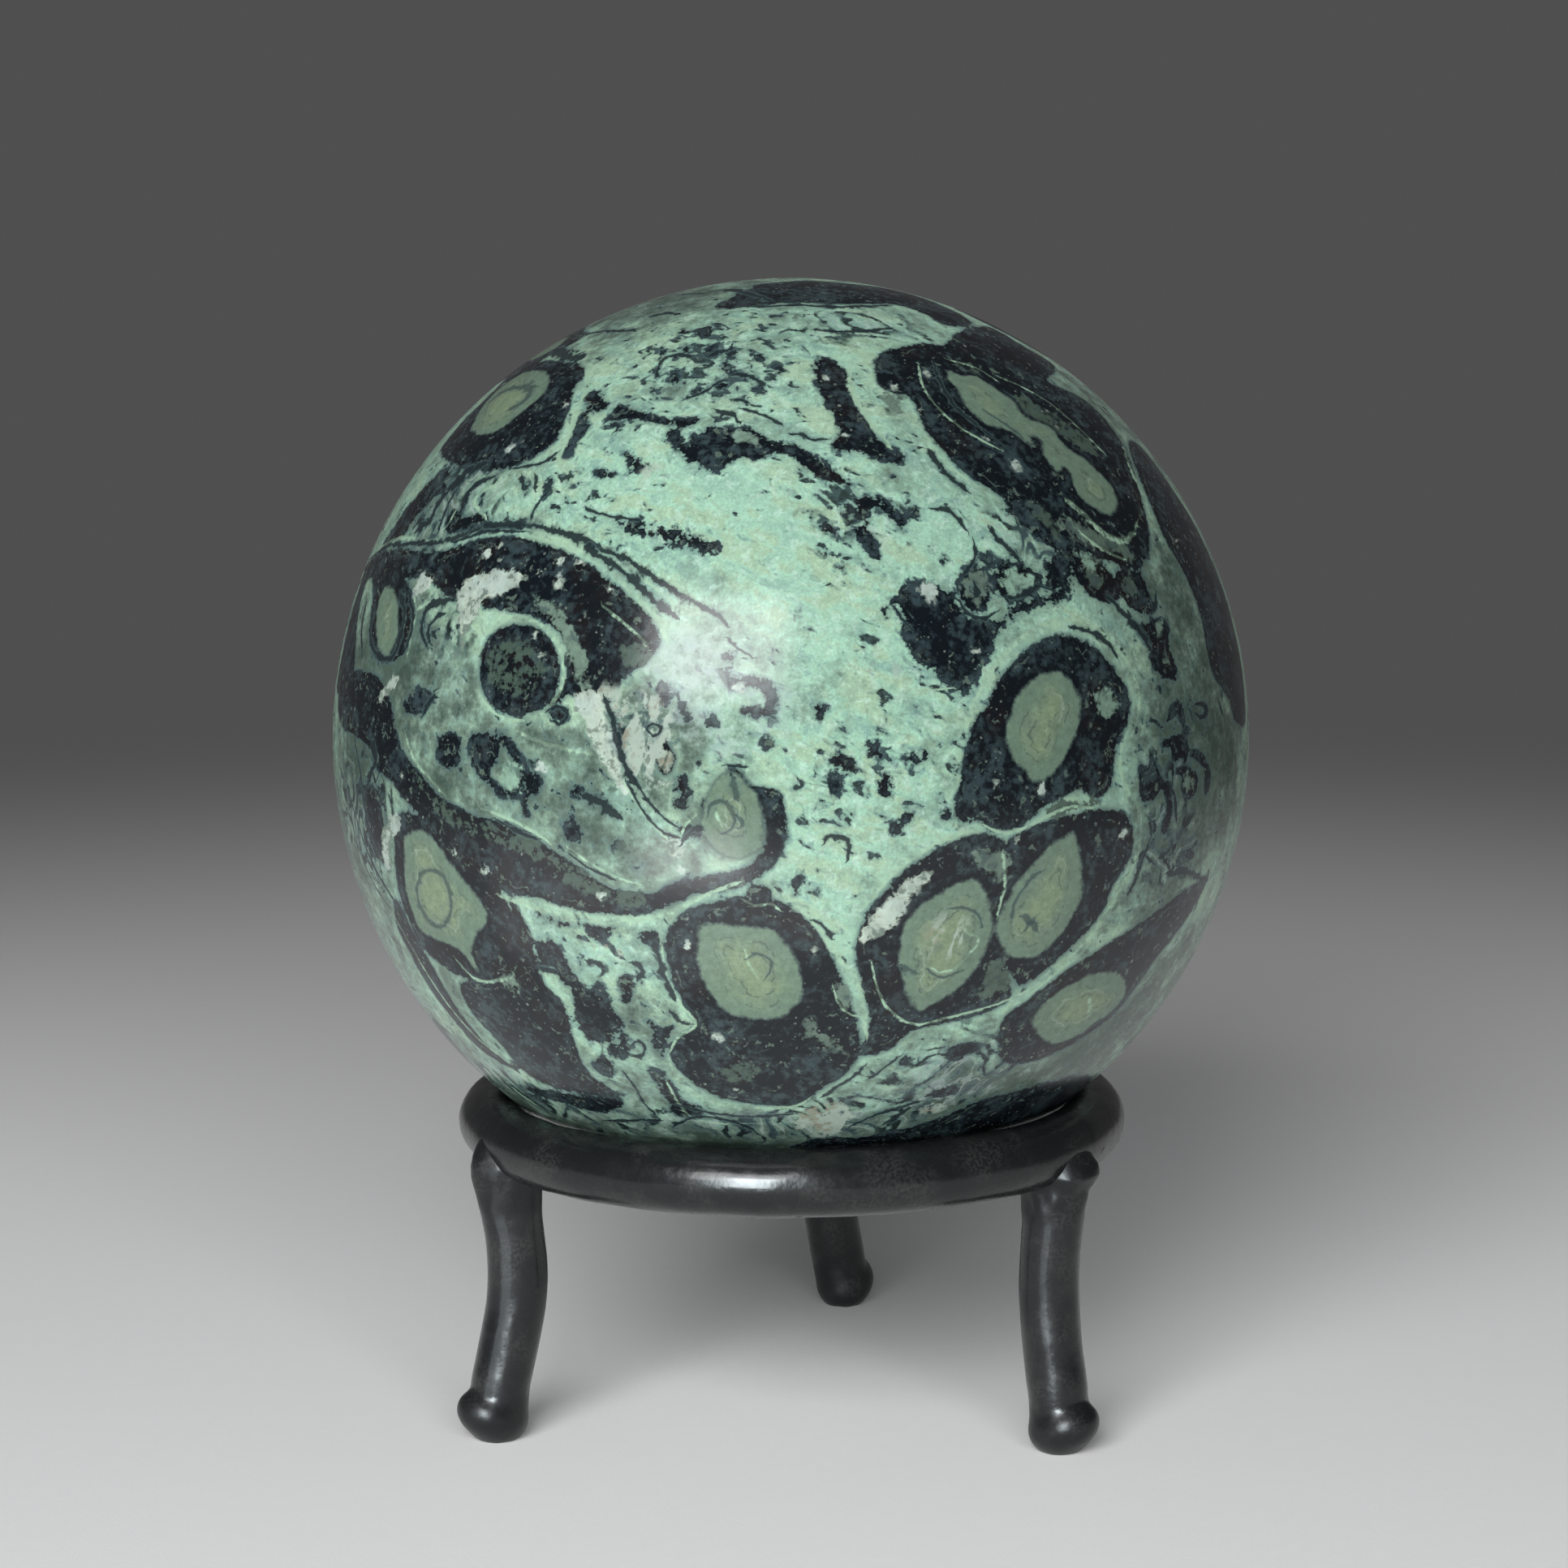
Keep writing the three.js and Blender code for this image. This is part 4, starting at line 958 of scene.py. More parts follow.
def joined(first, second, blend):
    """The larger of two depths, rounded where they cross: larger + (blend - difference)^2 / 4 blend. With the signs
    turned, it joins distances from two shapes in the same way."""
    overlap = np.maximum(blend - np.abs(first - second), 0)
    return np.maximum(first, second) + overlap**2 / (4 * blend)


def wobbly_loop(longitude, latitude, length, width, turn, seed, share=1.0, shift=0.0):
    """A closed loop on the ball: an ellipse whose radius is 1 + a sum of four cosines of the angle."""
    random = np.random.default_rng(seed)
    angle = np.linspace(0, 2 * np.pi, 60, endpoint=False)
    radius = np.full(angle.shape, share)
    for waves in (1, 2, 3, 5):
        radius += share * random.uniform(0.03, 0.13) * np.cos(waves * angle + random.uniform(0, 6.28)) / waves**0.4
    flat = oval(angle, radius * length / 2, radius * width / 2) + (shift, 0)
    return lifted(turned(flat, turn), bearing(longitude, latitude))


def soft_spot(directions, middle, half_width, half_height, turn):
    """1 at the middle of an ellipse on the ball, falling as exp(-distance^2) in its own half sizes."""
    near = np.flatnonzero(directions @ middle > 0.2)
    places = turned(flattened(directions[near], middle), turn) / (half_width, half_height)
    return near, np.exp(-(places**2).sum(-1))


def zone(directions, seen, hidden):
    """Soft spots added up, from those in the photograph's pixels and those by longitude and latitude. The pixels'
    size on the ball comes from a step to the side and one upwards."""
    total = np.zeros(len(directions))
    step = 10
    for x, y, half_width, half_height, turn, strength in seen:
        middle, side, top = on_ball([(x, y), (x + step, y), (x, y - step)])
        scale = [np.linalg.norm(edge - middle) * BALL_RADIUS / step for edge in (side, top)]
        near, spot = soft_spot(directions, middle, half_width * scale[0], half_height * scale[1], turn)
        total[near] += strength * spot
    for longitude, latitude, half_width, half_height, turn, strength in hidden:
        near, spot = soft_spot(directions, bearing(longitude, latitude), half_width, half_height, turn)
        total[near] += strength * spot
    return total


def line_layers(lines, layers):
    """Shares lines out so that no two in a layer run close to each other: each goes to the first layer whose lines
    stay LINE_GAP away from it, or else to the one whose lines stay farthest."""
    shared = [[] for _ in range(layers)]
    for thickness, points in lines:
        pixels = smooth_line(points, closed=False)
        path = on_ball(pixels)
        room = []
        for layer in shared:
            gaps = [np.linalg.norm(path[:, None] - other[None], axis=-1).min() * BALL_RADIUS for _, _, other in layer]
            room.append(min(gaps, default=np.inf))
        wide = [number for number, gap in enumerate(room) if gap > LINE_GAP]
        shared[wide[0] if wide else int(np.argmax(room))].append((thickness, pixels, path))
    return shared


def line_field(directions, layer):
    """Signed distance to the nearest of a layer's thin lines, in half thicknesses, and how much a line is near. A
    line thins towards its ends as the fourth root of the distance from them, and is near only as far as they go."""
    offset = np.full(len(directions), LINE_FAR)
    gap = np.full(len(directions), 9.0)
    beyond = np.zeros(len(directions))
    for thickness, pixels, path in layer:
        near, middle = close_to(directions, path, LINE_REACH)
        places, corners = flattened(directions[near], middle), flattened(path, middle)
        squared, along, side = nearest_on(places, corners[:-1], corners[1:])
        nearest = squared.argmin(1)
        rows = np.arange(len(places))
        distance = np.sqrt(squared[rows, nearest])
        done = (nearest + along[rows, nearest]) / (len(corners) - 1)
        length, drawn_length = (np.linalg.norm(np.diff(run, axis=0), axis=1).sum() for run in (corners, pixels))
        pixel = length / drawn_length
        half = 0.5 * thickness * pixel * (0.25 + 0.75 * np.clip(4 * done * (1 - done), 0, 1) ** 0.25)
        closer = distance < gap[near]
        kept = near[closer]
        gap[kept] = distance[closer]
        offset[kept] = (np.sign(side[rows, nearest]) * distance / half)[closer]
        beyond[kept] = ((done <= 0) | (done >= 1))[closer]
    reach = np.where(beyond > 0, LINE_END_NEAR, LINE_NEAR)
    return np.clip(offset, -LINE_FAR, LINE_FAR), np.clip((reach - gap) / LINE_FADE, 0, 1)


def stone_fields(directions):
    """All the fields that the stone's finish reads, worked out at each point of the ball: depths in mm inside the
    outlines, how torn or bright the nearest is, distances from lines, and soft zones."""
    count = len(directions)
    dark, core, pale, island = (np.full(count, -DEPTH_REACH) for _ in range(4))
    torn, island_tone = np.full(count, 0.15), np.full(count, 0.3)

    def add(field, loop, blend=MARK_BLEND, marks=None, mark=0.0):
        """Joins a loop's depth to a field. Where the loop is the deeper one, marks becomes its own mark."""
        near, depth = depth_inside(directions, loop)
        if marks is not None:
            marks[near[depth > field[near]]] = mark
        field[near] = joined(field[near], depth, blend)

    def add_dark(loop, tear):
        add(dark, loop, DARK_BLEND, torn, tear)

    def drawn(outline, steps=5):
        return on_ball(smooth_line(outline, closed=True, steps=steps))

    for _, tear, outline in DARK_BODIES:
        add_dark(drawn(outline), tear)
    angle = np.linspace(0, 2 * np.pi, FLECK_CORNERS, endpoint=False)
    for number, (x, y, half_width, half_height, turn) in enumerate(DARK_FLECKS):
        random = np.random.default_rng(FLECK_SEED + number)
        radius = 1 + 0.25 * random.uniform(-1, 1, len(angle))
        flat = turned(oval(angle, radius * half_width, radius * half_height), turn)
        add_dark(drawn(flat + (x, y), steps=2), FLECK_TEAR)
    for x, y, half_width, half_height in WHITE_SPECKS:
        add(pale, on_ball(oval(angle, half_width, half_height) + (x, y)))
    for outline in CORES:
        add(core, drawn(outline))
    for outline in PALE_BODIES:
        add(pale, drawn(outline))
    for tone, outline in ISLANDS:
        add(island, drawn(outline), ISLAND_BLEND, island_tone, tone)
    for longitude, latitude, length, width, turn, share, seed in HIDDEN_EYES:
        add_dark(wobbly_loop(longitude, latitude, length, width, turn, seed), EYE_TEAR)
        add(core, wobbly_loop(longitude, latitude, length, width, turn, seed + 50, share, shift=0.4))
    for band in HIDDEN_BANDS:
        add_dark(wobbly_loop(*band), BAND_TEAR)
    towards = unit(CAMERA_PLACE - BALL_MIDDLE)
    random = np.random.default_rng(HIDDEN_SEED)
    for number in range(HIDDEN_TRIES):
        middle = unit(random.normal(size=3))
        length = random.uniform(*BLOB_LENGTHS) if number % 3 else random.uniform(*SMALL_EYE_LENGTHS)
        close = directions @ middle > np.cos((0.5 * length + 0.7) / BALL_RADIUS)
        if middle @ towards > -0.5 * length / BALL_RADIUS or dark[close].max() > -0.1:
            continue
        place = np.degrees([np.arctan2(middle[0], -middle[1]), np.arcsin(middle[2])])
        shape = (length, length * random.uniform(0.5, 0.8), random.uniform(0, 180), 100 + number)
        add_dark(wobbly_loop(*place, *shape), SMALL_TEAR)
        if length > SMALL_EYE_LENGTHS[0]:
            add(core, wobbly_loop(*place, *shape, share=0.48, shift=0.2))
    lines = {}
    for kind, strokes in (("dark", DARK_LINES), ("pale", PALE_LINES)):
        for number, layer in enumerate(line_layers(strokes, LINE_LAYERS)):
            lines[f"{kind}_line_{number}"], lines[f"{kind}_near_{number}"] = line_field(directions, layer)
    # The tone is brighter and duller green, with painted shade along the ball's rims and at its bottom.
    tone = zone(directions, BRIGHT_ZONES, HIDDEN_BRIGHT) - zone(directions, DULL_AND_SHADED_ZONES, HIDDEN_DULL)
    for strength, outline in DULL_BODIES:
        near, depth = depth_inside(directions, drawn(outline))
        tone[near] -= strength * np.clip(depth / 0.8 + 0.5, 0, 1)
    hidden = np.clip(0.3 - 3 * (directions @ towards), 0, 1)
    return {
        "dark": dark, "torn": torn, "core": core, "pale": pale, "island": island, "island_tone": island_tone,
        **lines, "tone": tone, "flecked": zone(directions, FLECKED_ZONES, HIDDEN_FLECKS) + 0.25 * hidden,
        "milky_and_sheen": zone(directions, MILKY_AND_SHEEN_ZONES, HIDDEN_MILKY), "rusty": zone(directions, TAN_ZONES, HIDDEN_TAN),
        "swirled": zone(directions, SWIRLED_ZONES, HIDDEN_SWIRLS), "hidden": hidden,
    }


def crowded_sphere(squares, towards, crowd):
    """A sphere of unit radius as six square grids. A grid's point is (tan a, tan b, 1) made unit long, with a and b
    even steps from -45 to 45 degrees. Then each point's angle from the direction towards is changed to
    2 atan(tan(angle / 2) / crowd), which makes the grid finer there."""
    steps = np.tan(np.linspace(-np.pi / 4, np.pi / 4, squares + 1))
    a, b = np.meshgrid(steps, steps, indexing="ij")
    face = np.stack([a, b, np.ones_like(a)], axis=-1).reshape(-1, 3)
    right, up = patch_axes(towards)
    basis = np.stack([right, up, towards])
    turns = [np.eye(3), np.diag([-1.0, 1.0, -1.0])]
    turns += [np.array(rows, float) for rows in (
        [[0, 0, 1], [0, 1, 0], [-1, 0, 0]], [[0, 0, -1], [0, 1, 0], [1, 0, 0]],
        [[1, 0, 0], [0, 0, 1], [0, -1, 0]], [[1, 0, 0], [0, 0, -1], [0, 1, 0]])]
    points = unit(np.vstack([face @ turn.T for turn in turns]))
    row = np.arange(squares * (squares + 1)).reshape(squares, squares + 1)[:, :-1].reshape(-1)
    quad = np.stack([row, row + squares + 1, row + squares + 2, row + 1], axis=-1)
    quads = np.vstack([quad + number * len(face) for number in range(6)])
    _, first, same = np.unique(np.round(points, 6), axis=0, return_index=True, return_inverse=True)
    points, quads = points[first], same.reshape(-1)[quads]
    angle = 2 * np.arctan2(np.sqrt(np.maximum(1 - points[:, 2], 0)), crowd * np.sqrt(1 + points[:, 2]))
    ring = np.maximum(np.hypot(points[:, 0], points[:, 1]), 1e-12)
    crowded = np.stack([points[:, 0] / ring * np.sin(angle), points[:, 1] / ring * np.sin(angle), np.cos(angle)], -1)
    return crowded @ basis, quads


def make_piece(name, points, quads, material, fields=None):
    """A mesh from points in mm and four-cornered faces, shaded smooth, with its fields as point attributes."""
    mesh = bpy.data.meshes.new(name)
    mesh.from_pydata((points * MM).tolist(), [], quads.tolist())
    for key, values in (fields or {}).items():
        layer = mesh.attributes.new(key, "FLOAT", "POINT")
        layer.data.foreach_set("value", values.astype(np.float32))
    mesh.materials.append(material)
    mesh.shade_smooth()
    mesh.update()
    piece = bpy.data.objects.new(name, mesh)
    bpy.context.scene.collection.objects.link(piece)
    return piece


def grid_quads(rows, columns, closed=False):
    """Faces of a grid of rows that close on themselves round their columns. If closed, the last row meets the
    first."""
    row, column = np.meshgrid(np.arange(rows if closed else rows - 1), np.arange(columns), indexing="ij")
    here, after, beside = row * columns, (row + 1) % rows * columns, (column + 1) % columns
    return np.stack([here + column, here + beside, after + beside, after + column], axis=-1).reshape(-1, 4)


def lumps(points, seed, size):
    """Smooth unevenness between about -1 and 1: eight sine waves in random directions, about size mm long, added up
    and made lower."""
    random = np.random.default_rng(seed)
    total = np.zeros(points.shape[:-1])
    for _ in range(8):
        wave = unit(random.normal(size=3)) * 2 * np.pi / (size * random.uniform(0.7, 1.6))
        total += np.sin(points @ wave + random.uniform(0, 2 * np.pi))
    return total / 3.5


def jasper_finish(stone):
    """Polished kambaba jasper, from the ball's fields and noise. Each layer is laid over the ones before it where a
    field, frayed by noise, passes a threshold."""
    f = Finish("jasper_polished")

    def grey(share):
        return f.mix(stone.teal, stone.slate, share)

    def black(share):
        return f.mix(stone.slate, stone.night, share)

    # Noises from coarse to fine, and the fields that they fray: each is a depth in mm inside its outlines.
    cloud = f.noise(0.14, 3)
    patch = f.noise(0.55, 4, 0.55)
    grit = f.noise(2.1, 4, 0.62)
    dust = f.noise(6.5, 2)
    other = f.noise(0.9, 3, 0.6, 0.8, at=f.vector("ADD", f.mm, (31.0, 7.0, 19.0)))
    tear = f.attribute("torn")
    dark = f.attribute("dark") + patch * (0.025 + tear * 0.17) + grit * (0.03 + tear * 0.17) + dust * 0.012
    core = f.attribute("core") + patch * 0.05 + grit * 0.035 + dust * 0.008
    pale = f.attribute("pale") + patch * 0.09 + grit * 0.09
    island = f.attribute("island") + patch * 0.12 + grit * 0.13
    tone, flecked = f.attribute("tone"), f.attribute("flecked")
    milky_and_sheen, rusty = f.attribute("milky_and_sheen"), f.attribute("rusty")

    # The green ground, darker where the tone field holds painted shade along the rims and bottom, with bluish and
    # yellowish drifts, a pale bloom and a light rim along clean edges.
    level = tone * 0.9 + cloud * 0.15 + patch * 0.22 + grit * 0.1 + 0.28
    green = level.rise(-0.9, 0.9)
    ground = f.mix(f.mix(stone.moss, stone.sage, level.rise(-1.5, -0.4)), stone.mint, green)
    drift = f.noise(0.42, 3, 0.6, 0.7, at=f.grain((3.0, 1.5, 0.8), (0.0, 0.38, 0.0)))
    bluish = (other * 0.6 - drift * 0.8 + grit * 0.4).rise(0.4, 2.3) * (0.15 + green * 0.45)
    ground = f.mix(ground, stone.teal, bluish * (1.0 - tone.rise(0.3, 1.1) * 0.65))
    ground = f.mix(ground, stone.lichen, (drift + cloud * 0.4 - other * 0.5).rise(0.1, 1.7) * green * 0.55)
    bloom = f.noise(1.5, 3, 0.6, 0.4, at=f.vector("ADD", f.mm, (3.0, 41.0, 8.0)))
    ground = f.mix(ground, stone.frost, (bloom + flecked * 0.5).rise(0.6, 1.9) * green * 0.6)
    ground = f.shade(ground, 1.0 + grit * 0.05 + dust * 0.04)
    rim = (dark + patch * 0.1).band(-0.55, 0.6) * tear.rise(0.4, 0.2)
    ground = f.mix(ground, f.mix(stone.mint, stone.lichen, 0.35), rim * (0.06 + green * 0.3))

    # Mottling, flecks and the haze round dark bodies.
    speck = f.noise(1.15, 2.5, 0.55, 0.5, at=f.grain((1.5, 1.0, 0.9), (0.0, 0.5, 0.0)))
    mottle = speck + grit * 0.3 + flecked * 1.8
    ground = f.mix(ground, grey(0.45), mottle.rise(1.1, 2.7) * 0.55)
    ground = f.mix(ground, black(grit.rise(-1.0, 1.5)), mottle.rise(2.4, 2.95) * 0.9)
    ground = f.mix(ground, grey(0.6), dark.rise(-0.28, -0.02) * 0.65)

    # On the hidden side, thin lines that follow the dark bodies at two distances.
    echo = dark + patch * 0.1 + other * 0.05
    echoes = echo.band(-0.55, 0.1).most(echo.band(-1.05, 0.09)) * (other + cloud).rise(-0.8, 0.6)
    ground = f.mix(ground, black(0.4), echoes * f.attribute("hidden") * 0.8)

    # Swirls: the contour lines of a slow noise.
    flow = f.noise(0.17, 2.2, 0.55, 0.5, at=f.vector("ADD", f.mm, (11.0, 53.0, 5.0)))
    wave = (flow * 0.62 + grit * 0.035).math("PINGPONG", 0.5)
    swirled = f.attribute("swirled") + patch * 0.1
    vein = (wave + other * 0.055).rise(0.19, 0.07) * swirled.rise(0.25, 0.6)
    shadow = (wave + other * 0.06).rise(0.32, 0.1) * swirled.rise(0.2, 0.6)
    ground = f.mix(ground, grey(0.5), shadow * 0.6)
    ground = f.mix(ground, black(patch.rise(-1.0, 1.0)), vein * 0.92)
    ground = f.mix(ground, stone.milk, (wave + other * 0.03).rise(0.38, 0.47) * swirled.rise(0.3, 0.7) * 0.45)

    # Islands and dark bodies, with a brownish tinge, a line inside their edge and pale crumbs.
    island_tone = f.attribute("island_tone")
    island_green = f.mix(stone.moss, stone.sage, island_tone.rise(0.1, 0.4))
    island_green = f.mix(island_green, stone.mint, island_tone.rise(0.3, 1.2))
    isle = f.mix(f.shade(island_green, 0.9 + grit * 0.09 + patch * 0.06), stone.slate, other.rise(0.5, 2.0) * 0.6)
    night = f.mix(stone.night, stone.slate, (grit * 0.7 + patch * 0.7).rise(-0.7, 2.4) * 0.9)
    night = f.mix(night, stone.umber, (cloud + other * 0.6).rise(0.5, 2.0) * 0.35)
    night = f.mix(night, stone.sage, (dark + patch * 0.06).band(0.5, 0.07) * other.rise(0.2, 1.0) * 0.45)
    night = f.mix(night, stone.sage, (bloom + other * 0.5).rise(2.0, 2.6) * 0.6)
    for scale, size, share, strength in ((0.55, 0.1, 0.8, 0.7), (1.1, 0.14, 0.72, 0.45), (2.3, 0.2, 0.55, 0.3)):
        cells = {"Vector": f.mm, "Scale": scale, "Randomness": 1.0}
        apart = f.add("ShaderNodeTexVoronoi", inputs=cells, output="Distance")
        lot = f.add("ShaderNodeTexVoronoi", inputs=cells, output="Color")
        chosen = f.add("ShaderNodeSeparateColor", inputs={0: lot}, output=0)
        crumb = (apart + grit * 0.045 + chosen * 0.08).rise(size + 0.05, size - 0.03) * chosen.rise(share, share + 0.1)
        night = f.mix(night, f.mix(stone.cream, stone.slate, dust.rise(-0.5, 1.5) * 0.5), crumb * strength)

    # Cores, with rings inside them.
    inner = (core + patch * 0.15).rise(0.5, 2.2)
    sage_core = f.mix(stone.core, stone.heart, inner)
    sage_core = f.mix(sage_core, stone.sage, (other + grit * 0.5).rise(0.7, 2.2) * 0.5)
    sage_core = f.shade(sage_core, 1.0 + grit * 0.06 + dust * 0.03)
    rings = (core + patch * 0.06).band(0.95, 0.08).most((core + patch * 0.08).band(1.65, 0.09))
    sage_core = f.mix(sage_core, f.shade(stone.sage, 0.5), rings * other.rise(-0.4, 0.9) * 0.6)
    sage_core = f.mix(sage_core, stone.cream, (core + patch * 0.08).band(1.3, 0.07) * cloud.rise(0.0, 1.2) * 0.35)

    # Dark bodies over the ground, then islands, and cores with a dark and a grey rim.
    tint = f.mix(ground, night, dark.rise(-0.06, 0.06))
    patchy = island_tone.rise(0.2, 0.1) * (grit + patch * 0.6).rise(0.5, -0.9)
    tint = f.mix(tint, isle, island.rise(-0.12, 0.2) * (1.0 - patchy))
    tint = f.mix(tint, stone.night, core.rise(-0.5, -0.15) * dark.rise(-0.5, 0.3) * 0.7)
    tint = f.mix(tint, f.mix(stone.sage, stone.slate, 0.6), core.rise(-0.2, 0.0) * 0.8)
    tint = f.mix(tint, sage_core, core.rise(-0.08, 0.13))

    # Rusty quartz, milky chalcedony with a painted sheen of the key light's glow, and cream quartz.
    streak = f.noise(0.7, 3, 0.6, 0.6, at=f.grain((0.9, 1.0, 3.2), (0.0, 0.2, 0.0)))
    chalk = f.mix(f.mix(stone.cream, stone.tan, grit.rise(-0.7, 2.5) * 0.4), stone.milk, patch.rise(0.0, 2.0) * 0.5)
    chalk = f.shade(chalk, 1.06 + other * 0.1 + grit * 0.07)
    chalk = f.mix(chalk, f.mix(stone.sage, stone.slate, 0.4), (grit - patch * 0.5 - other * 0.5).rise(0.3, 1.8) * 0.75)
    quartz = (rusty * 1.3 + streak * 0.3 + grit * 0.14).rise(0.5, 0.9) * rusty.rise(0.1, 0.35)
    quartz_tint = f.mix(f.mix(stone.cream, stone.tan, (patch + grit * 0.4).rise(0.0, 1.6) * 0.8), stone.slate,
        (streak * -1.0 + grit * 0.4).rise(0.7, 1.5) * 0.85)
    tint = f.mix(tint, quartz_tint, quartz * 0.85)
    # Milky chalcedony, partly a painted reflection of the key light's glow.
    milk = (milky_and_sheen + patch * 0.14 + grit * 0.1).rise(0.25, 0.95) * milky_and_sheen.rise(0.08, 0.3)
    tint = f.mix(tint, f.mix(stone.milk, stone.teal, (patch + grit * 0.3).rise(0.6, 2.2) * 0.6),
        milk * (0.65 - dark.rise(-0.12, 0.08) * 0.55))
    tint = f.mix(tint, chalk, pale.rise(-0.1, 0.14) * 0.95)

    # Pale lines, two of them painted highlights, then dark lines with a soft grey edge.
    for number in range(LINE_LAYERS):
        near = f.attribute(f"pale_near_{number}").rise(0.2, 0.6)
        line = (abs(f.attribute(f"pale_line_{number}") + grit * 0.2) + other * 0.1).rise(1.25, 0.5) * near
        tint = f.mix(tint, f.shade(f.mix(stone.mint, stone.lichen, 0.4), 0.95 + grit * 0.06),
            line * (0.22 + (patch + grit * 0.9).rise(-1.0, 1.2) * 0.68))
    for number in range(LINE_LAYERS):
        near = f.attribute(f"dark_near_{number}").rise(0.2, 0.6)
        offset = abs(f.attribute(f"dark_line_{number}") + grit * 0.25 + patch * 0.2)
        offset = offset * (1.0 + other * 0.28) - patch * 0.1
        tint = f.mix(tint, grey(0.6), offset.rise(2.8, 1.0) * near * 0.5)
        ink = offset.rise(1.4, 0.7) * near * (0.94 - core.rise(0.0, 0.2) * 0.4)
        tint = f.mix(tint, black(0.75), ink)

    gloss = stone.gloss + grit * 0.006 + dust * 0.004 + pale.rise(-0.05, 0.1) * 0.1
    bumps = [(dust * 0.4 + grit * 0.6, 0.0000003), (patch, 0.0000014)]
    return f.surface({"IOR": 1.5, "Specular IOR Level": 0.5}, {"Base Color": tint, "Roughness": gloss}, bumps)


def enamel_finish(stand, name, dull_ends=0.0):
    """Thick black enamel: even black, a little thinner on high spots, with orange peel and a few pimples. On the legs
    it is duller over the feet and the welds."""
    f = Finish(name)
    flow = f.noise(0.35, 3)
    peel = f.noise(1.3, 2)
    grain = f.noise(5.0, 2)
    cells = {"Vector": f.mm, "Scale": 0.28, "Randomness": 1.0}
    pimple = f.add("ShaderNodeTexVoronoi", inputs=cells, output="Distance").rise(0.1, 0.02)
    tint = f.mix(stand.enamel, stand.worn, flow.rise(-0.7, 2.1) * grain.rise(-1.4, 1.4))
    height = f.add("ShaderNodeSeparateXYZ", inputs={0: f.mm}, output="Z")
    dull = height.rise(*DULL_FOOT).most(height.rise(*DULL_WELD)) * dull_ends
    gloss = stand.roughness + flow * 0.015 + grain * 0.006 + dull * 0.08
    bumps = [(flow, 0.000007), (peel, 0.0000018), (grain, 0.0000004), (pimple, 0.00009)]
    return f.surface({"IOR": 1.38, "Coat Roughness": 0.1}, {"Base Color": tint, "Roughness": gloss,
        "Coat Weight": (0.3 + flow * 0.03) * (1.0 - dull * 0.85)}, bumps)


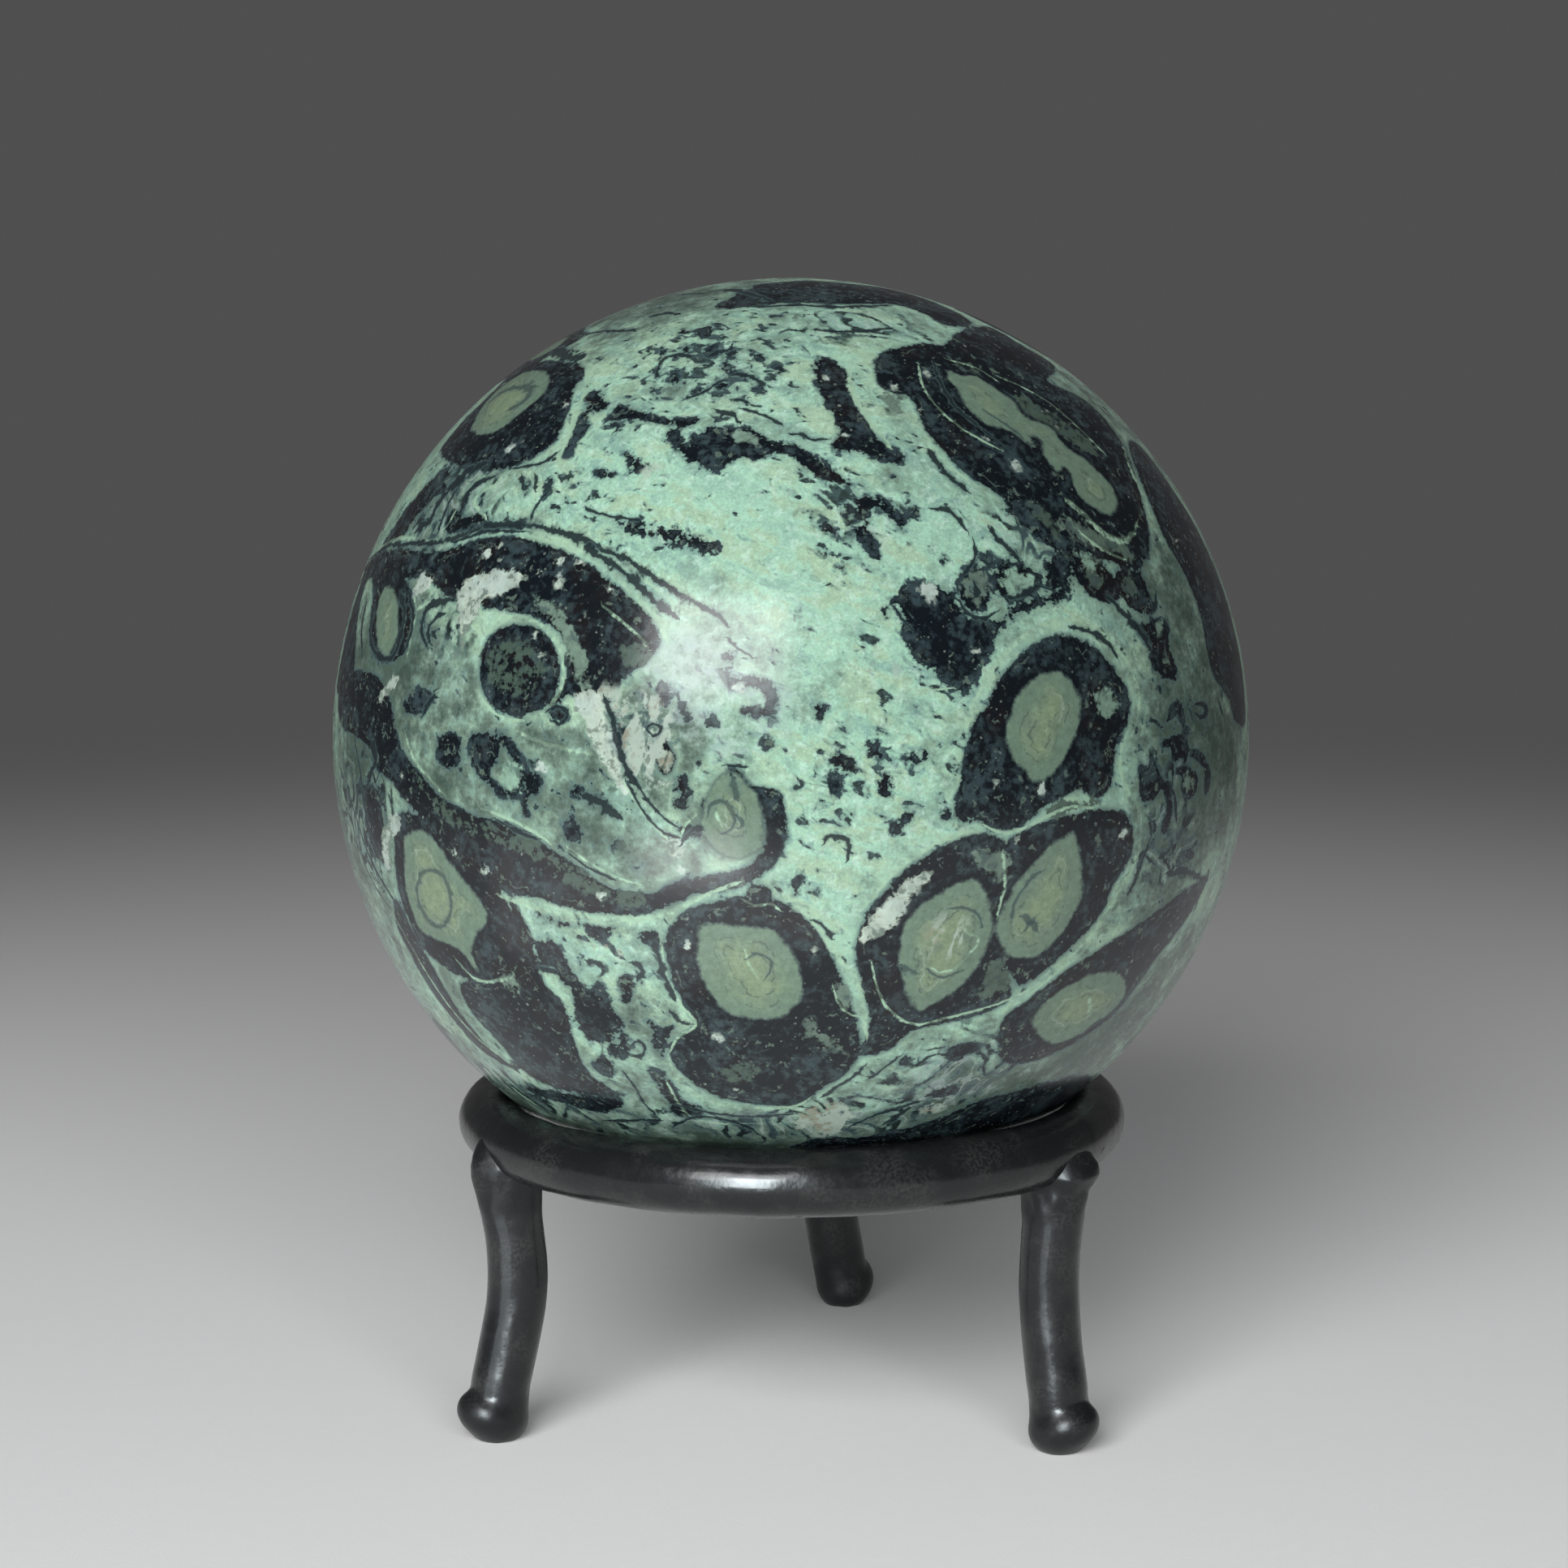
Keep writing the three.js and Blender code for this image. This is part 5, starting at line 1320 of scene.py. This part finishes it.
class JASPER_OT_studio(bpy.types.Operator):
    """Sets the camera, the floor, the lights and the room."""

    bl_idname = "jasper.studio"
    bl_label = "Set the studio"

    def execute(self, context):
        scene = context.scene
        studio = scene.jasper_studio
        right, up, forward = camera_axes()
        lens = bpy.data.cameras.new("photo_camera")
        lens.sensor_width, lens.lens = 36.0, 36.0 * FOCAL_PIXELS / FRAME_SIDE
        lens.clip_start, lens.clip_end = 0.01, 50.0
        camera = bpy.data.objects.new("photo_camera", lens)
        turn = Matrix([(*column, 0.0) for column in (right, up, -forward)] + [(0, 0, 0, 1)]).transposed()
        camera.matrix_world = Matrix.Translation(CAMERA_PLACE * MM) @ turn
        scene.collection.objects.link(camera)
        scene.camera = camera
        scene.view_settings.view_transform = "Standard"

        ground = self.floor(studio)
        stone = [bpy.data.objects["ball"]]
        stand = [bpy.data.objects[name] for name in ("ring", *(name.replace("leg", "leg_rod") for name in LEGS))]
        both = [*stone, *stand]
        self.light("softbox", (-0.18, -0.50, 0.33), (0.34, 0.26), studio.key_power)
        self.light("floor_glare", (-0.04, -0.10, 0.001), (0.045, 0.04), studio.glare_power, stone)
        self.light("floor_sheen", (-0.03, -0.045, 0.001), (0.09, 0.06), studio.sheen_power, stone, missing="diffuse")
        self.light("overhead", (-0.05, 0.05, 0.80), (0.5, 0.5), studio.top_power, both, missing="glossy")
        self.light("back_fill", (0.16, 0.50, 0.30), (0.36, 0.28), studio.fill_power, both, missing="glossy")
        self.light("floor_wash", (-0.01, -0.54, 0.19), (0.6, 0.36), studio.wash_power, [ground], missing="glossy")
        self.light("stand_card", (-0.13, -0.48, 0.14), (0.14, 0.26), studio.card_power, stand, CARD_TINT)
        for leg, place in (("left", (-0.034, -0.031, 0.001)), ("right", (-0.002, -0.048, 0.001))):
            lit = [bpy.data.objects[f"leg_rod_front_{leg}"]]
            self.light(f"low_card_{leg}", place, (0.019, 0.05), studio.low_power, lit, CARD_TINT)
        self.room(scene, studio)
        return {"FINISHED"}

    def room(self, scene, studio):
        """The room is plain grey below and at eye level, and turns darker overhead."""
        world = bpy.data.worlds.new("room")
        world.use_nodes = True
        scene.world = world
        nodes, links = world.node_tree.nodes, world.node_tree.links
        place = nodes.new("ShaderNodeTexCoord")
        apart = nodes.new("ShaderNodeSeparateXYZ")
        ramp = nodes.new("ShaderNodeValToRGB")
        stops = ((ROOM_LOW, studio.room), (ROOM_HIGH, ROOM_OVERHEAD))
        for element, (position, tint) in zip(ramp.color_ramp.elements, stops):
            element.position, element.color = position, (*tint, 1)
        links.new(place.outputs["Generated"], apart.inputs[0])
        links.new(apart.outputs["Z"], ramp.inputs["Fac"])
        links.new(ramp.outputs["Color"], nodes["Background"].inputs["Color"])

    def floor(self, studio):
        """The floor's points are on circles round the origin: (reach cos a, reach sin a, 0). Away from the object its
        colour gives way to the room's, which it gives off as a painted glow so that it melts into the room."""
        angle = np.linspace(0, 2 * np.pi, 96, endpoint=False)
        reach = np.array([0.0005, 20, 60, 100, 150, 220, 400, 900, 3000])
        reach, angle = np.meshgrid(reach, angle, indexing="ij")
        points = np.stack([reach * np.cos(angle), reach * np.sin(angle), 0 * angle], axis=-1).reshape(-1, 3)
        f = Finish("floor_paper")
        away = f.vector("LENGTH", f.mm)
        away.socket = away.socket.node.outputs["Value"]
        near = away.rise(FLOOR_GONE, FLOOR_CLEAR)
        tint = f.shade(f.shade(studio.floor, near), 1.0 + f.noise(0.8, 3) * 0.002)
        glow = f.shade(studio.room, 1.0 - near)
        paper = f.surface({"Roughness": 0.6, "Specular IOR Level": 0.0, "Emission Strength": 1.0},
            {"Base Color": tint, "Emission Color": glow}, [(f.noise(3.0, 2), 0.0000007)])
        ground = make_piece("floor", points, grid_quads(*reach.shape), paper)
        return ground

    def light(self, name, place, size, power, only=None, tint=(1.0, 1.0, 1.0), missing=None):
        """An area light aimed at the ball, which lights everything or only some objects, and can be missing from
        their diffuse or glossy light."""
        lamp = bpy.data.lights.new(name, "AREA")
        lamp.shape, (lamp.size, lamp.size_y), lamp.energy, lamp.color = "RECTANGLE", size, power, tint
        light = bpy.data.objects.new(name, lamp)
        light.location = place
        aim = Vector(BALL_MIDDLE * MM) - Vector(place)
        light.rotation_euler = aim.to_track_quat("-Z", "Y").to_euler()
        light.visible_camera = False
        if missing:
            setattr(light, f"visible_{missing}", False)
        bpy.context.scene.collection.objects.link(light)
        if only:
            light.light_linking.receiver_collection = bpy.data.collections.new(name)
            for lit in only:
                light.light_linking.receiver_collection.objects.link(lit)


class JASPER_OT_ball(bpy.types.Operator):
    """Makes the polished ball with its markings."""

    bl_idname = "jasper.ball"
    bl_label = "Make the ball"

    def execute(self, context):
        stone = context.scene.jasper_ball
        towards = unit(CAMERA_PLACE - BALL_MIDDLE)
        directions, quads = crowded_sphere(stone.grid, towards, stone.crowd)
        piece = make_piece("ball", BALL_MIDDLE + BALL_RADIUS * directions, quads, jasper_finish(stone),
            stone_fields(directions))
        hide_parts("jasper_ball")
        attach(piece, BODY)
        return {"FINISHED"}


class JASPER_OT_ring(bpy.types.Operator):
    """Makes the ring of round rod that carries the ball."""

    bl_idname = "jasper.ring"
    bl_label = "Make the ring"

    def execute(self, context):
        """A torus: (R + r cos b) on the circle of angle a, r sin b above it, with r uneven by the enamel's sag, all
        leaned about the X axis."""
        stand = context.scene.jasper_stand
        a, b = np.meshgrid(*(np.linspace(0, 2 * np.pi, steps, endpoint=False) for steps in (RING_STEPS, ROD_STEPS)),
            indexing="ij")

        def torus(rod):
            flat = RING_RADIUS + rod * np.cos(b)
            return np.stack([flat * np.cos(a), flat * np.sin(a), rod * np.sin(b)], axis=-1)

        uneven = lumps(torus(RING_ROD_RADIUS), seed=12, size=4.0)
        points = torus(RING_ROD_RADIUS + stand.sag * (uneven - 0.5))
        lean = np.array([[1, 0, 0], [0, np.cos(RING_LEAN), np.sin(RING_LEAN)],
            [0, -np.sin(RING_LEAN), np.cos(RING_LEAN)]])
        points = points @ lean.T + (0, RING_FORWARD, RING_HEIGHT)
        quads = grid_quads(RING_STEPS, ROD_STEPS, closed=True)
        piece = make_piece("ring", points.reshape(-1, 3), quads[:, ::-1], enamel_finish(stand, "enamel_ring"))
        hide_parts("stand_ring")
        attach(piece, BODY)
        return {"FINISHED"}


def round_axis(degrees, reach, height):
    """Points by their angle round the stand's axis, reach from it and height."""
    angle = np.radians(degrees)
    return np.stack([reach * np.cos(angle), reach * np.sin(angle), height + 0 * angle], axis=-1)


def leg_line(leg, samples):
    """The leg's middle line, from its foot up, as a Catmull-Rom curve through its points. Its direction turns evenly
    from the foot's to the top's, and a leg that bends less keeps nearer to a straight one."""
    reach, height = np.array(LEG_LINE[::-1]).T
    reach = LEG_STRAIGHT_REACH + leg["bend"] * (reach - LEG_STRAIGHT_REACH)
    degrees = leg["foot"] + (leg["top"] - leg["foot"]) * height / LEG_LINE[0][1]
    line = smooth_line(round_axis(degrees, reach, height), closed=False, steps=12)
    length = np.concatenate([[0], np.cumsum(np.linalg.norm(np.diff(line, axis=0), axis=1))])
    even = np.linspace(0, length[-1], samples)
    return np.stack([np.interp(even, length, line[:, axis]) for axis in range(3)], axis=-1)


def leg_distance(points, leg, line):
    """Distance from the leg's surface, negative inside: the rod round its line, the turned out foot as a leaning
    ellipsoid, and the weld as a column whose width follows its profile, joined smoothly, and cut by the floor."""
    shape = points.shape[:-1]
    flat = points.reshape(-1, 3)
    gap = np.full(len(flat), 1e9)
    for start, end in zip(line[:-1], line[1:]):
        run = end - start
        along = np.clip((flat - start) @ run / (run @ run), 0, 1)
        gap = np.minimum(gap, np.linalg.norm(flat - start - along[:, None] * run, axis=1))
    rod = gap - LEG_ROD_RADIUS
    out = round_axis(leg["foot"], 1.0, 0.0)
    side = np.array([-out[1], out[0], 0.0])
    end = np.hypot(*line[0][:2]) + TOE_PAST_ROD
    local = flat - out * end - np.array([0, 0, TOE_HEIGHT])
    x, z = local @ out, local[:, 2]
    x, z = x * np.cos(TOE_LIFT) + z * np.sin(TOE_LIFT), z * np.cos(TOE_LIFT) - x * np.sin(TOE_LIFT)
    scaled = np.stack([x / TOE_LENGTH, local @ side / leg["toe"], z / TOE_DEPTH], axis=-1)
    size = np.linalg.norm(scaled, axis=1)
    toe = size * (size - 1) / np.maximum(np.linalg.norm(scaled / (TOE_LENGTH, leg["toe"], TOE_DEPTH), axis=1), 1e-6)
    top = round_axis(leg["top"], 1.0, 0.0)
    along_ring = np.array([-top[1], top[0], 0.0])
    rise = -WELD_REACH * top[1] * np.tan(RING_LEAN)
    width, height = np.array(WELD_PROFILE).T
    up = flat[:, 2] - rise
    weld = np.hypot(flat @ top - WELD_REACH, flat @ along_ring / WELD_ALONG) - np.interp(up, height, width)
    weld = np.maximum(weld - leg["lump"] * np.clip(up - LUMP_FROM, 0, 1), np.abs(up - WELD_MIDDLE) - WELD_HALF)
    whole = -joined(joined(-rod, -toe, TOE_BLEND), -weld, WELD_BLEND)
    return np.maximum(whole, -flat[:, 2]).reshape(shape)


def leg_surface(leg, around=48, along=120, fan=14, farthest=4.5, halvings=18):
    """Rays leave the leg's middle line square to it, and swing through a quarter turn to point along it at its two
    ends. Each is followed to the leg's surface by halving the stretch that holds it."""
    line = leg_line(leg, 60)
    starts = leg_line(leg, along)
    tangent = unit(np.gradient(starts, axis=0))
    out = round_axis(leg["foot"], 1.0, 0.0)
    side = unit(np.cross(tangent, out))
    front = np.cross(side, tangent)
    swing = np.linspace(0, np.pi / 2, fan + 1)[1:]
    order = np.concatenate([np.zeros(fan, int), np.arange(along), np.full(fan, along - 1)])
    tilt = np.concatenate([-swing[::-1], np.zeros(along), swing])
    angle = np.linspace(0, 2 * np.pi, around, endpoint=False)
    level = front[order, None] * np.cos(angle)[None, :, None] + side[order, None] * np.sin(angle)[None, :, None]
    rays = level * np.cos(tilt)[:, None, None] + tangent[order, None] * np.sin(tilt)[:, None, None]
    base = starts[order, None]
    low, high = np.zeros(rays.shape[:2]), np.full(rays.shape[:2], farthest)
    for _ in range(halvings):
        middle = (low + high) / 2
        outside = leg_distance(base + rays * middle[..., None], leg, line) > 0
        low, high = np.where(outside, low, middle), np.where(outside, middle, high)
    points = base + rays * low[..., None]
    return points, grid_quads(points.shape[0], around)


class JASPER_OT_legs(bpy.types.Operator):
    """Makes the three bent legs with their feet and welds."""

    bl_idname = "jasper.legs"
    bl_label = "Make the legs"

    def execute(self, context):
        stand = context.scene.jasper_stand
        finish = enamel_finish(stand, "enamel_legs", dull_ends=1.0)
        for name, leg in LEGS.items():
            points, quads = leg_surface(leg)
            height = points[..., 2]
            outward = unit(points - points.mean(axis=1, keepdims=True) + 1e-9)
            near_weld = np.clip((height - WELD_LUMPS_LOW) / (WELD_LUMPS_HIGH - WELD_LUMPS_LOW), 0, 1)
            swell = stand.sag * (lumps(points, leg["seed"], size=3.5) - 0.4)
            swell += near_weld * WELD_LUMPS * lumps(points, leg["seed"] + 20, size=1.6)
            points = points + outward * (swell * np.clip(height / GROUND_FADE, 0, 1))[..., None]
            piece = make_piece(name.replace("leg", "leg_rod"), points.reshape(-1, 3), quads, finish)
            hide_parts(name)
            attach(piece, BODY)
        return {"FINISHED"}


STEPS = (JASPER_OT_ball, JASPER_OT_ring, JASPER_OT_legs, JASPER_OT_studio)


class JASPER_PT_panel(bpy.types.Panel):
    """Lists the steps and their settings."""

    bl_label = "Jasper sphere"
    bl_idname = "JASPER_PT_panel"
    bl_space_type = "VIEW_3D"
    bl_region_type = "UI"
    bl_category = "Jasper"

    def draw(self, context):
        for settings in (context.scene.jasper_studio, context.scene.jasper_ball, context.scene.jasper_stand):
            box = self.layout.box()
            for key in settings.bl_rna.properties.keys():
                if key not in ("rna_type", "name"):
                    box.prop(settings, key)
        for step in STEPS:
            self.layout.operator(step.bl_idname)


SETTINGS = {"jasper_studio": StudioSettings, "jasper_ball": JasperBallSettings, "jasper_stand": RingStandSettings}


def register():
    for kind in (*SETTINGS.values(), *STEPS, JASPER_PT_panel):
        bpy.utils.register_class(kind)
    for key, kind in SETTINGS.items():
        setattr(bpy.types.Scene, key, PointerProperty(type=kind))


def unregister():
    for key in SETTINGS:
        delattr(bpy.types.Scene, key)
    for kind in (JASPER_PT_panel, *reversed(STEPS), *SETTINGS.values()):
        bpy.utils.unregister_class(kind)


def main():
    register()
    bpy.ops.jasper.ball()
    bpy.ops.jasper.ring()
    bpy.ops.jasper.legs()
    bpy.ops.jasper.studio()


if __name__ == "__main__":
    main()
